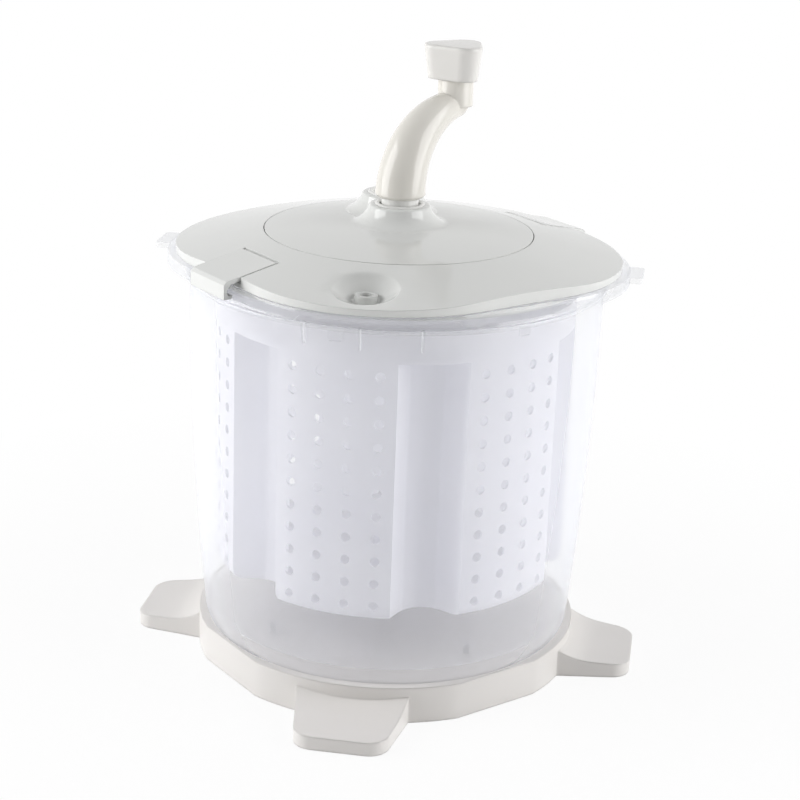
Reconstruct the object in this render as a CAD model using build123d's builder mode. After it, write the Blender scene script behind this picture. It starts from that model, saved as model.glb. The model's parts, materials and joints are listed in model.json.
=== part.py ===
"""Hand-cranked washing machine: a clear tub on a four-footed base, with a spinning basket inside.

Millimetres. +Z is up, the floor is Z = 0 and the crank axis is the Z axis. The front foot points
along -Y. Azimuths are measured from the front (-Y) towards +X.
"""

from build123d import *
from math import acos, atan, cos, degrees, pi, radians, sin, sqrt, tan
import os

os.makedirs("parts", exist_ok=True)

# Clearances
SEAT_GAP = 0.3
SLIP_GAP = 0.1
RUN_GAP = 0.05

# Base
PAD_STAND = 0.8
BASE_TOP = 30.0
BASE_OVER = 7.1
BASE_FLAT_OVER = 2.6
BASE_WALL = 3.5
BASE_DECK = 3.0
FOOT_LAP = 29.0
FOOT_OUT = 50.5
FOOT_ROOT_HALF = 48.0
FOOT_TIP_HALF = 34.0
FOOT_CORNER = 16.0
FOOT_TIP_H = 11.5
FOOT_MID_H = 13.5
FOOT_ROOT_H = 22.0
FOOT_SWEEP = 27.0
FEET = (0, 90, 180, 270)
PAD_R = 11.0
PAD_H = 3.0
PAD_IN = 24.0
RIB_W = 3.0

# Tub
TUB_BOTTOM_IN = 1.7
TUB_CORNER = 4.0
TUB_TAPER = 12.8
TUB_BELLY_IN = 4.9
TUB_MID_Z = 138.0
TUB_TOP_R = 160.9
TUB_WALL = 2.4
TUB_FLOOR_UP = 8.0
TUB_FLOOR = 3.0
RIM_TOP = 326.5
RIM_PLATE_DROP = 2.0
RIM_PLATE = 2.5
RIM_BORDER_IN = 2.3
RIM_BAND = 9.5
RIM_BAND_FRONT = 4.5
RIM_OVER = 1.5
RIM_SKIRT = 2.2
RIM_LEDGE = 9.3
WINDOW_FROM = -16.0
WINDOW_TO = 26.0
LIP_OUT = 3.1
LIP_DROP = 12.5
LIP_H = 3.4
GUSSET_W = 1.8
GUSSET_H = 13.0
GUSSETS = (-15, 0, 16)
LOBE_R = 120.0
LOBE_OUT = 19.5
LOBE_DROP = 19.0
LOBE_FLARE = 4.0
TAB_OUT = 29.6
TAB_HALF = 17.0
TAB_CORNER = 4.2
SCREW_BOSS_R = 5.5
SCREW_BOSS_AT = 110.0
SCREW_R = 2.0
SCREW_HEAD_R = 4.0
SCREW_HEAD_H = 2.6

# Pivot under the basket
PIN_R = 5.0
PIN_SOCKET = 16.0
PIVOT_BOSS_R = 13.0
PIVOT_BOSS_H = 21.0
BUSH_WALL = 3.0
BUSH_H = 28.0
HUB_WALL = 3.2

# Basket
BASKET_UP = 16.0
BASKET_DROP = 22.5
BASKET_WALL = 2.0
COLLAR_H = 20.0
BASKET_ROOM = 4.7
PANELS = 6
PANEL_IN = 0.5
PANEL_CURVE_R = 227.0
PANEL_HALF = 46.0
PANEL_AZIMUTH = -8.8
FLUTE_DEPTH = 29.0
FLUTE_HALF = 13.0
FLUTE_RISE = 5.0
BASKET_CORNER = 10.0
SCREEN_HALF = 42.0
SCREEN_UP = 12.0
SCREEN_DROP = 4.0
HOLE_R = 3.7
HOLE_SIDES = 6
HOLE_COLUMNS = 4
HOLE_ROWS = 11
HOLE_PITCH_X = 22.8
HOLE_PITCH_Z = 18.1
HOLE_TOP_DROP = 12.0
NOTCHES = 6
NOTCH_W = 12.0
NOTCH_H = 8.0

# Lid
LID_FLAT_IN = 3.4
LID_CORNER_OUT = 13.1
LID_DISC_UP = 20.0
LID_FLAT_UP = 8.5
LID_WALL = 2.8
BOWL_SPAN = 11.4
DISC_GAP = 0.7
SHELF_W = 14.1
SHELF_DROP = 8.5
SHELF_H = 3.0
PLUG_GAP = 0.4
PLUG_GROOVE = 2.2
PLUG_WALL = 4.4
PLUG_DROP = 8.5
PLUG_LIP = 1.3
GASKET_H = 4.2

# Water inlet in the lid's front corner: a bowl square to the slope, with an upright nozzle in it
BOWL_OUT = 3.0
BOWL_R = 26.5
BOWL_LIP = 4.1
BOWL_LIP_DROP = 2.7
BOWL_FLOOR_R = 9.9
BOWL_DEPTH = 10.6
BOWL_WALL = 1.6
BOWL_LIP_MID = 0.42
BOWL_LIP_SAG = 0.22
BOWL_CUT_ABOVE = 4.0
NOZZLE_IN = 12.2
NOZZLE_R = 8.45
NOZZLE_BORE_R = 5.0
NOZZLE_UP = 5.9
NOZZLE_H = 12.4

# Latches
LATCHES = {"latch_front": -45, "latch_rear": 135}
LATCH_W = 48.0
LATCH_T = 3.2
LATCH_OUT = 10.1
LATCH_WALL = 2.4
LATCH_DROP = 7.1
LATCH_BEAD = 2.6
HINGE_IN = 3.2
KNUCKLE_R = 2.3
HINGE_PIN_R = 1.25
WELL_OUT = 19.9
WELL_DEPTH = 5.2
WELL_FLOOR = 2.4
WELL_SIDE = 0.5
WELL_WALL = 2.4
CATCH_T = 2.4
CATCH_H = 2.4
CATCH_W = 40.0

# Gear pair under the cover: a small gear on the crank axis and a large one behind it
MODULE = 2.0
CENTRE_TEETH = 12
REAR_TEETH = 28
REAR_AZIMUTH = 198.0
PRESSURE = 20.0
ADDENDUM = 0.8
DEDENDUM = 1.15
BACKLASH = 0.3
GEAR_H = 10.0
SOCKET_R = 10.0
SOCKET_UP = 8.5
SOCKET_DEPTH = 14.0
TENON_ACROSS = 12.0
CASE_DEPTH = 16.0
CASE_FLOOR = 3.0
CASE_WALL = 2.6
CASE_ROOM = 3.4
CASE_FLANGE = 2.6
CASE_RIBS = 6
STUB_R = 4.0
OUTPUT_R = 7.0
OUTPUT_ACROSS = 10.0
OUTPUT_BUSH_WALL = 2.6
OUTPUT_BUSH_H = 7.0

# Cover with the two crank hubs
COVER_T = 2.6
COVER_RIM = 5.4
COVER_BULGE = 0.9
COVER_DOME_UP = 6.5
HUB_UP = 20.8
HUB_SEAT_DROP = 1.5
HUB_SHOULDER_W = 4.8
HUB_SHOULDER_DROP = 1.8
HUB_MID_W = 3.0
HUB_MID_DROP = 7.5
HUB_FOOT_W = 8.8
HUB_EDGE = 2.0
HUB_EDGE_SAG = 0.7
BUSH_PROUD = 1.2
BUSH_FLANGE_W = 3.3
BUSH_MOUTH_GAP = 1.7
BUSH_CROWN = 1.0
HUB_LIP_UP = 0.9
HUB_LIP = 2.2
CRANK_BUSH_WALL = 2.4
COVER_SCREWS = 6
COVER_SCREW_IN = 6.0
COVER_SCREW_R = 1.6
COVER_SCREW_HEAD_R = 3.4
COVER_SCREW_HEAD_H = 2.2
COVER_SCREW_GRIP = 7.0
COVER_BOSS_R = 3.8

# Crank
NECK_R = 14.4
NECK_SHOWS = 4.7
CRANK_FOOT_R = 19.5
CRANK_TIP_R = 10.5
CRANK_SWELL = 1.4
CRANK_STATIONS = 6
CRANK_BEND_R = 63.0
CRANK_BEND = 86.0
CRANK_AZIMUTH = 145.7
CRANK_RISE = 2.0
STEM_R = 13.9
CRANK_H = 64.3
STEM_H = 20.5
CRANK_BORE_ACROSS = 16.0
CRANK_BORE_H = 14.0
KNOB_H = 27.0
KNOB_TOP_CORNER = 13.0
KNOB_FOOT_CORNER = 11.0
KNOB_TURN = 68.7
KNOB_EDGE = 2.0
KNOB_AXLE_R = 4.0
KNOB_AXLE_UP = 20.0
KNOB_AXLE_DOWN = 14.0

# Plate that drives the basket
PLATE_OVER = 1.5
PLATE_T = 3.0
PLATE_HUB_R = 14.0
PLATE_HUB_H = 12.0
PLATE_HOLES = 6
PLATE_HOLE_R = 16.0
PLATE_HOLE_AT = 88.0
LUG_T = 2.6
DRIVE_SCREW_R = 2.0
DRIVE_SCREW_HEAD_R = 6.5
DRIVE_SCREW_HEAD_H = 3.0
DRIVE_SCREW_GRIP = 10.0

# Sizes that follow from the ones above
TUB_FOOT_R = TUB_TOP_R - TUB_TAPER
TUB_MID_R = TUB_TOP_R - TUB_BELLY_IN
TUB_BOTTOM_R = TUB_FOOT_R - TUB_BOTTOM_IN
BASE_R = TUB_BOTTOM_R + BASE_OVER
BASE_FLAT = TUB_BOTTOM_R + BASE_FLAT_OVER
FOOT_ROOT_R = BASE_FLAT - FOOT_LAP
FOOT_REACH = BASE_R + FOOT_OUT
FOOT_MID_R = BASE_FLAT + FOOT_SWEEP
PAD_AT = FOOT_REACH - PAD_IN
TUB_FLOOR_Z = BASE_TOP + TUB_FLOOR_UP
RIM_PLATE_TOP = RIM_TOP - RIM_PLATE_DROP
RIM_BORE_R = TUB_TOP_R - RIM_LEDGE
LIP_R = TUB_TOP_R + LIP_OUT
LIP_TOP = RIM_TOP - LIP_DROP
LOBE_REACH = TUB_TOP_R + LOBE_OUT
TAB_REACH = TUB_TOP_R + TAB_OUT
FLOOR_TOP = TUB_FLOOR_Z + TUB_FLOOR
PIVOT_BOSS_TOP = FLOOR_TOP + PIVOT_BOSS_H
BASKET_Z = PIVOT_BOSS_TOP + BASKET_UP
BASKET_TOP = RIM_TOP - BASKET_DROP
COLLAR_Z = BASKET_TOP - COLLAR_H
COLLAR_R = TUB_FOOT_R - TUB_WALL - BASKET_ROOM
PANEL_REACH = COLLAR_R - PANEL_IN
FLUTE_REACH = COLLAR_R - FLUTE_DEPTH
SCREEN_FROM = BASKET_Z + SCREEN_UP
SCREEN_TO = COLLAR_Z - SCREEN_DROP
HOLE_TOP_Z = COLLAR_Z - HOLE_TOP_DROP
LID_FLAT = TUB_TOP_R - LID_FLAT_IN
LID_CORNER_REACH = TUB_TOP_R + LID_CORNER_OUT
LID_DISC_Z = RIM_TOP + LID_DISC_UP
LID_FLAT_Z = RIM_TOP + LID_FLAT_UP
SHELF_Z = LID_DISC_Z - SHELF_DROP
PLUG_R = RIM_BORE_R - PLUG_GAP
PLUG_Z = RIM_TOP - PLUG_DROP
NOZZLE_AT = PLUG_R - NOZZLE_IN
BOWL_AT = NOZZLE_AT + BOWL_OUT
NOZZLE_TOP = RIM_TOP + NOZZLE_UP
NOZZLE_TAIL = NOZZLE_TOP - NOZZLE_H
DISC_R = BOWL_AT - BOWL_R - BOWL_SPAN
SHELF_R = DISC_R - SHELF_W
LATCH_REACH = TUB_TOP_R + LATCH_OUT
LATCH_FOOT_Z = RIM_TOP - LATCH_DROP
WELL_INNER = DISC_R + WELL_OUT
HINGE_AT = WELL_INNER + HINGE_IN
SOCKET_TOP = LID_DISC_Z + SOCKET_UP
CASE_FLOOR_Z = SHELF_Z - CASE_DEPTH
CENTRE_R = MODULE * CENTRE_TEETH / 2
REAR_R = MODULE * REAR_TEETH / 2
REAR_AT = CENTRE_R + REAR_R
CASE_R = REAR_AT + REAR_R + ADDENDUM * MODULE + CASE_ROOM
COVER_DOME_Z = LID_DISC_Z + COVER_DOME_UP
HUB_TOP = LID_DISC_Z + HUB_UP
HUB_SEAT = HUB_TOP - HUB_SEAT_DROP
BUSH_MOUTH_R = NECK_R + BUSH_MOUTH_GAP
BUSH_FLANGE_R = BUSH_MOUTH_R + BUSH_FLANGE_W
HUB_SHOULDER_R = BUSH_FLANGE_R + HUB_SHOULDER_W
HUB_SHOULDER_Z = HUB_TOP - HUB_SHOULDER_DROP
HUB_MID_R = HUB_SHOULDER_R + HUB_MID_W
HUB_MID_Z = HUB_TOP - HUB_MID_DROP
HUB_FOOT_R = HUB_MID_R + HUB_FOOT_W
BUSH_TOP = HUB_TOP + BUSH_PROUD
HUB_LIP_Z = LID_DISC_Z + HUB_LIP_UP
COVER_SCREW_AT = SHELF_R + COVER_SCREW_IN
CRANK_FOOT_Z = BUSH_TOP + NECK_SHOWS
STEM_FOOT = CRANK_FOOT_Z + CRANK_H
STEM_TOP = STEM_FOOT + STEM_H
KNOB_TOP = STEM_TOP + KNOB_H
PLATE_R = COLLAR_R + PLATE_OVER
CONE_DROP = (LID_DISC_Z - LID_FLAT_Z) / (LID_FLAT - DISC_R)
CONE_TILT = degrees(atan(CONE_DROP))
LID_CORNER_R = (LID_FLAT * sqrt(2) - LID_CORNER_REACH) / (sqrt(2) - 1)
TUB_INNER_R = TUB_TOP_R - TUB_WALL
SHELF_TOP = SHELF_Z + SHELF_H
GEAR_Z = CASE_FLOOR_Z + CASE_FLOOR + SEAT_GAP
BUSH_R = NECK_R + RUN_GAP + CRANK_BUSH_WALL
BUSH_FOOT = HUB_LIP_Z + HUB_LIP
PLATE_Z = BASKET_TOP + SEAT_GAP
CRANK_THROW = CRANK_BEND_R * (1 - cos(radians(CRANK_BEND)))
CRANK_END_Z = CRANK_FOOT_Z + CRANK_RISE + CRANK_BEND_R * sin(radians(CRANK_BEND))
KNOB_X = CRANK_THROW * sin(radians(CRANK_AZIMUTH))
KNOB_Y = -CRANK_THROW * cos(radians(CRANK_AZIMUTH))


def cone_z(r, below=0.0):
    """Height of the lid's sloping top at radius r, or of a surface the given depth under it."""
    return LID_DISC_Z - (r - DISC_R) * CONE_DROP - below


def side_plane(azimuth):
    """Plane through the Z axis, with local X pointing outwards at the azimuth and local Y up."""
    a = radians(azimuth)
    out = Vector(sin(a), -cos(a), 0)
    return Plane(origin=(0, 0, 0), x_dir=out, z_dir=out.cross(Vector(0, 0, 1)))


def floor_plane(azimuth, z):
    """Level plane at height z, with local X pointing outwards at the azimuth."""
    a = radians(azimuth)
    return Plane(origin=(0, 0, z), x_dir=(sin(a), -cos(a), 0), z_dir=(0, 0, 1))


def save(part, name):
    """Label a finished piece and write it under its own name."""
    part.label = name
    export_step(part, f"parts/{name}.step")


def ring(inner, outer, low, high):
    """Plain ring about the Z axis."""
    with BuildPart() as piece:
        with BuildSketch(Plane.XY.offset(low)):
            Circle(outer)
            Circle(inner, mode=Mode.SUBTRACT)
        extrude(amount=high - low)
    return piece.part


def turned(points):
    """Solid of revolution about the Z axis from (radius, height) corners."""
    with BuildPart() as piece:
        with BuildSketch(Plane.XZ):
            with BuildLine():
                Polyline(*points, close=True)
            make_face()
        revolve(axis=Axis.Z)
    return piece.part


def rounded_square(z, grow, height):
    """The lid's plan outline, grown outwards, as a block. Its corners point along X and Y."""
    half = LID_FLAT + grow
    with BuildPart() as block:
        with BuildSketch(Plane.XY.offset(z)):
            RectangleRounded(2 * half, 2 * half, LID_CORNER_R + grow, rotation=45)
        extrude(amount=height)
    return block.part


def under_cone(depth, low):
    """Everything from height low up to the lid's slope, or up to the given depth under it."""
    far = LID_CORNER_REACH + 20
    return turned([(0, low), (far, low), (far, cone_z(far, depth)), (0, cone_z(0, depth))])


# Base: a hollow ring with flats between its four feet
def base_outline(plane, inset):
    """Sketch of the base ring: a circle with four flats, shrunk by the inset."""
    with BuildSketch(plane) as outline:
        Circle(BASE_R - inset)
        Rectangle(2 * (BASE_FLAT - inset), 2 * (BASE_FLAT - inset), rotation=45, mode=Mode.INTERSECT)
    return outline.sketch


def foot_outline(azimuth, z, inset):
    """Sketch of one foot in plan, tapering outwards to rounded corners."""
    taper = (FOOT_ROOT_HALF - FOOT_TIP_HALF) / (FOOT_REACH - FOOT_ROOT_R)
    root = FOOT_ROOT_HALF - inset * sqrt(1 + taper**2)
    tip = FOOT_TIP_HALF - inset * sqrt(1 + taper**2)
    end = FOOT_REACH - inset
    with BuildSketch(floor_plane(azimuth, z)) as outline:
        with BuildLine():
            Polyline((FOOT_ROOT_R, -root), (end, -tip), (end, tip), (FOOT_ROOT_R, root), close=True)
        make_face()
        fillet(outline.vertices().filter_by(lambda v: (v.X**2 + v.Y**2) > FOOT_MID_R**2), FOOT_CORNER - inset)
    return outline.sketch


def foot_block(azimuth, low, inset):
    """One foot: its plan outline under a top that sweeps down from the ring to the tip."""
    with BuildPart() as foot:
        add(foot_outline(azimuth, low, inset))
        extrude(amount=BASE_TOP - low)
        with BuildSketch(side_plane(azimuth)):
            with BuildLine():
                Polyline((0, low), (FOOT_REACH, low), (FOOT_REACH, FOOT_TIP_H - inset))
                Line((FOOT_REACH, FOOT_TIP_H - inset), (FOOT_MID_R, FOOT_MID_H - inset))
                TangentArc((FOOT_MID_R, FOOT_MID_H - inset), (BASE_FLAT, FOOT_ROOT_H - inset),
                           tangent=(FOOT_MID_R - FOOT_REACH, FOOT_MID_H - FOOT_TIP_H))
                Polyline((BASE_FLAT, FOOT_ROOT_H - inset), (0, FOOT_ROOT_H - inset), (0, low))
            make_face()
        extrude(amount=FOOT_ROOT_HALF, both=True, mode=Mode.INTERSECT)
    return foot.part


def make_base():
    deck_under = BASE_TOP - BASE_DECK
    with BuildPart() as base:
        add(base_outline(Plane.XY.offset(PAD_STAND), 0))
        extrude(amount=BASE_TOP - PAD_STAND)
        for azimuth in FEET:
            add(foot_block(azimuth, PAD_STAND, 0))
        add(extrude(base_outline(Plane.XY, BASE_WALL), amount=deck_under, mode=Mode.PRIVATE),
            mode=Mode.SUBTRACT)
        for azimuth in FEET:
            add(foot_block(azimuth, 0, BASE_WALL), mode=Mode.SUBTRACT)
        # Ribs across the hollow, and a boss for each pad
        with BuildSketch(Plane.XY.offset(PAD_STAND + RIB_W)):
            for azimuth in (45, 135):
                Rectangle(2 * BASE_FLAT - BASE_WALL, RIB_W, rotation=azimuth)
            Circle(SCREW_BOSS_AT / 2)
            Circle(SCREW_BOSS_AT / 2 - RIB_W, mode=Mode.SUBTRACT)
        extrude(amount=deck_under - PAD_STAND - RIB_W)
        with BuildSketch(Plane.XY.offset(PAD_STAND)):
            with PolarLocations(PAD_AT, len(FEET)):
                Circle(PAD_R + RIB_W)
        extrude(amount=FOOT_TIP_H - BASE_WALL / 2 - PAD_STAND)
        with BuildSketch(Plane.XY):
            with PolarLocations(PAD_AT, len(FEET)):
                Circle(PAD_R + SLIP_GAP)
        extrude(amount=PAD_H, mode=Mode.SUBTRACT)
        # Screw holes up into the tub
        screws = PolarLocations(SCREW_BOSS_AT, len(FEET), start_angle=45)
        with BuildSketch(Plane.XY.offset(deck_under - SCREW_HEAD_H)):
            with screws:
                Circle(SCREW_HEAD_R + RIB_W)
        extrude(amount=SCREW_HEAD_H)
        with BuildSketch(Plane.XY):
            with screws:
                Circle(SCREW_HEAD_R + SLIP_GAP)
        extrude(amount=deck_under, mode=Mode.SUBTRACT)
        with BuildSketch(Plane.XY.offset(deck_under)):
            with screws:
                Circle(SCREW_R + SLIP_GAP)
        extrude(amount=BASE_DECK, mode=Mode.SUBTRACT)
    save(base.part, "base")


def make_foot_pads():
    with BuildPart() as pads:
        with BuildSketch(Plane.XY):
            with PolarLocations(PAD_AT, len(FEET)):
                Circle(PAD_R)
        extrude(amount=PAD_H)
        chamfer(pads.edges().group_by(Axis.Z)[0], PAD_STAND)
    save(pads.part, "foot_pads")


def make_base_screws():
    head = BASE_TOP - BASE_DECK - SCREW_HEAD_H
    with BuildPart() as screws:
        with BuildSketch(Plane.XY.offset(head)):
            with PolarLocations(SCREW_BOSS_AT, len(FEET), start_angle=45):
                Circle(SCREW_HEAD_R)
        extrude(amount=SCREW_HEAD_H)
        with BuildSketch(Plane.XY.offset(head)):
            with PolarLocations(SCREW_BOSS_AT, len(FEET), start_angle=45):
                Circle(SCREW_R)
        extrude(amount=TUB_FLOOR_Z - head - SEAT_GAP)
    save(screws.part, "base_screws")


# Tub: a clear barrel with a square rim, two lifting grips and a catch under each latch
def make_tub():
    wall_top = RIM_PLATE_TOP - RIM_PLATE
    with BuildPart() as tub:
        with BuildSketch(Plane.XZ):
            with BuildLine():
                Polyline((0, TUB_FLOOR_Z), (TUB_BOTTOM_R - TUB_WALL, TUB_FLOOR_Z),
                         (TUB_BOTTOM_R - TUB_WALL, BASE_TOP), (TUB_BOTTOM_R, BASE_TOP),
                         (TUB_FOOT_R, BASE_TOP + TUB_CORNER))
                ThreePointArc((TUB_FOOT_R, BASE_TOP + TUB_CORNER), (TUB_MID_R, TUB_MID_Z),
                              (TUB_TOP_R, LIP_TOP - LIP_H))
                Polyline((TUB_TOP_R, LIP_TOP - LIP_H), (LIP_R, LIP_TOP - LIP_H), (LIP_R, LIP_TOP),
                         (TUB_TOP_R, LIP_TOP), (TUB_TOP_R, RIM_PLATE_TOP),
                         (RIM_BORE_R, RIM_PLATE_TOP), (RIM_BORE_R, wall_top), (TUB_INNER_R, wall_top),
                         (TUB_INNER_R, LIP_TOP - LIP_H))
                ThreePointArc((TUB_INNER_R, LIP_TOP - LIP_H), (TUB_MID_R - TUB_WALL, TUB_MID_Z),
                              (TUB_FOOT_R - TUB_WALL, FLOOR_TOP))
                Polyline((TUB_FOOT_R - TUB_WALL, FLOOR_TOP), (0, FLOOR_TOP), (0, TUB_FLOOR_Z))
            make_face()
        revolve(axis=Axis.Z)
        # Square rim: a plate with a skirt turned down from its edge
        with BuildSketch(Plane.XY.offset(RIM_TOP - RIM_BAND)):
            rim_sketch(0)
            rim_sketch(-RIM_SKIRT, Mode.SUBTRACT)
            Circle(TUB_TOP_R)
            Circle(TUB_TOP_R - TUB_WALL / 2, mode=Mode.SUBTRACT)
        extrude(amount=RIM_BAND)
        with BuildSketch(Plane.XY.offset(wall_top)):
            rim_sketch(0)
            Circle(TUB_TOP_R - TUB_WALL / 2, mode=Mode.SUBTRACT)
        extrude(amount=RIM_PLATE)
        border = LID_FLAT - RIM_BORDER_IN
        with BuildSketch(Plane.XY.offset(RIM_PLATE_TOP)):
            rim_sketch(0)
            Circle(TUB_TOP_R)
            RectangleRounded(2 * border, 2 * border, LID_CORNER_R - RIM_BORDER_IN, rotation=45,
                             mode=Mode.SUBTRACT)
        extrude(amount=RIM_TOP - RIM_PLATE_TOP)
        # The skirt is shallower over the front and rear corners
        for turn in (0, 180):
            mid = (WINDOW_FROM + WINDOW_TO) / 2 + turn
            half = TAB_REACH * tan(radians((WINDOW_TO - WINDOW_FROM) / 2))
            with BuildSketch(floor_plane(mid, RIM_TOP - RIM_BAND)):
                with BuildLine():
                    Polyline((0, 0), (TAB_REACH, -half), (TAB_REACH, half), close=True)
                make_face()
                Circle(TUB_TOP_R, mode=Mode.SUBTRACT)
            extrude(amount=RIM_BAND - RIM_BAND_FRONT, mode=Mode.SUBTRACT)
            # Thin gussets hold the lip
            for azimuth in GUSSETS:
                with BuildSketch(side_plane(azimuth + turn)):
                    with BuildLine():
                        Polyline((TUB_TOP_R - TUB_WALL / 2, LIP_TOP), (LIP_R, LIP_TOP),
                                 (LIP_R, LIP_TOP - LIP_H), (TUB_TOP_R, LIP_TOP - LIP_H - GUSSET_H),
                                 (TUB_TOP_R - TUB_WALL / 2, LIP_TOP - LIP_H - GUSSET_H), close=True)
                    make_face()
                extrude(amount=GUSSET_W / 2, both=True)
        # Flared web under each side grip
        for turn in (90, 270):
            with BuildSketch(side_plane(turn)):
                with BuildLine():
                    foot_z = wall_top - LOBE_DROP
                    Line((TUB_TOP_R - TUB_WALL / 2, foot_z), (TUB_TOP_R, foot_z))
                    ThreePointArc((TUB_TOP_R, foot_z), (LIP_R + LOBE_FLARE, foot_z + LOBE_DROP / 3),
                                  (LOBE_REACH - RIM_SKIRT, RIM_TOP - RIM_BAND))
                    Polyline((LOBE_REACH - RIM_SKIRT, RIM_TOP - RIM_BAND), (LOBE_REACH - RIM_SKIRT, wall_top),
                             (TUB_TOP_R - TUB_WALL / 2, wall_top), (TUB_TOP_R - TUB_WALL / 2, foot_z))
                make_face()
            extrude(amount=TAB_HALF, both=True)
        # Catch bars under the latches
        for azimuth in LATCHES.values():
            with BuildSketch(floor_plane(azimuth, LATCH_FOOT_Z + LATCH_BEAD + SEAT_GAP)):
                with Locations((TUB_TOP_R + CATCH_T / 2 - TUB_WALL / 4, 0)):
                    Rectangle(CATCH_T + TUB_WALL / 2, CATCH_W)
            extrude(amount=CATCH_H)
        # Pivot boss and screw bosses on the floor
        with BuildSketch(Plane.XY.offset(FLOOR_TOP)):
            Circle(PIVOT_BOSS_R)
        extrude(amount=PIVOT_BOSS_TOP - FLOOR_TOP)
        with BuildSketch(Plane.XY.offset(PIVOT_BOSS_TOP - PIN_SOCKET)):
            Circle(PIN_R + SLIP_GAP / 2)
        extrude(amount=PIN_SOCKET, mode=Mode.SUBTRACT)
        with BuildSketch(Plane.XY.offset(BASE_TOP)):
            with PolarLocations(SCREW_BOSS_AT, len(FEET), start_angle=45):
                Circle(SCREW_BOSS_R)
                Circle(SCREW_R + SLIP_GAP, mode=Mode.SUBTRACT)
        extrude(amount=TUB_FLOOR_Z - BASE_TOP)
    save(tub.part, "tub")


def rim_sketch(grow, mode=Mode.ADD):
    """The rim's plan: the lid's rounded square, with a lobe and a tab at each side."""
    half = LID_FLAT + RIM_OVER + grow
    with BuildSketch(mode=Mode.PRIVATE) as plan:
        RectangleRounded(2 * half, 2 * half, LID_CORNER_R + RIM_OVER + grow, rotation=45)
        with Locations((LOBE_REACH - LOBE_R, 0), (LOBE_R - LOBE_REACH, 0)):
            Circle(LOBE_R + grow)
        RectangleRounded(2 * (TAB_REACH + grow), 2 * (TAB_HALF + grow), TAB_CORNER + grow)
    add(plan.sketch, mode=mode)


def make_pivot_pin():
    low = PIVOT_BOSS_TOP - PIN_SOCKET
    high = PIVOT_BOSS_TOP + BUSH_H
    with BuildPart() as pin:
        with BuildSketch(Plane.XY.offset(low)):
            Circle(PIN_R)
        extrude(amount=high - low)
        fillet(pin.edges().group_by(Axis.Z)[-1], PIN_R / 2)
    save(pin.part, "pivot_pin")


# Basket: a fluted drum with six perforated screens
def basket_plan(plane, inset=0):
    """Fluted outline: six shallow arcs joined by six grooves that reach inwards."""
    edge = PANEL_REACH - PANEL_CURVE_R + sqrt(PANEL_CURVE_R**2 - PANEL_HALF**2)
    step = 360 / PANELS
    with BuildSketch(plane) as plan:
        with BuildLine():
            for i in range(PANELS):
                here = PANEL_AZIMUTH + i * step
                panel = [plan_point(here, edge, -PANEL_HALF), plan_point(here, PANEL_REACH, 0),
                         plan_point(here, edge, PANEL_HALF)]
                flute = [plan_point(here + step / 2, FLUTE_REACH + FLUTE_RISE, -FLUTE_HALF),
                         plan_point(here + step / 2, FLUTE_REACH, 0),
                         plan_point(here + step / 2, FLUTE_REACH + FLUTE_RISE, FLUTE_HALF)]
                ThreePointArc(*panel)
                Line(panel[-1], flute[0])
                ThreePointArc(*flute)
                Line(flute[-1], plan_point(here + step, edge, -PANEL_HALF))
        make_face()
        if inset:
            offset(amount=-inset, kind=Kind.ARC, mode=Mode.REPLACE)
    return plan.sketch


def plan_point(azimuth, out, side):
    """Point in plan: a distance outwards at the azimuth, and a distance sideways from there."""
    a = radians(azimuth)
    return (out * sin(a) + side * cos(a), -out * cos(a) + side * sin(a))


def round_foot(inset):
    """Revolved envelope that rounds the basket's lower edge."""
    far = COLLAR_R + BASKET_WALL
    low = BASKET_Z + inset
    side = COLLAR_R - inset
    corner = BASKET_CORNER - inset
    with BuildPart() as body:
        with BuildSketch(Plane.XZ):
            with BuildLine():
                Line((0, low), (side - corner, low))
                RadiusArc((side - corner, low), (side, low + corner), -corner)
                Polyline((side, low + corner), (side, COLLAR_Z), (0, COLLAR_Z), (0, low))
            make_face()
        revolve(axis=Axis.Z)
    return body.part


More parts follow.
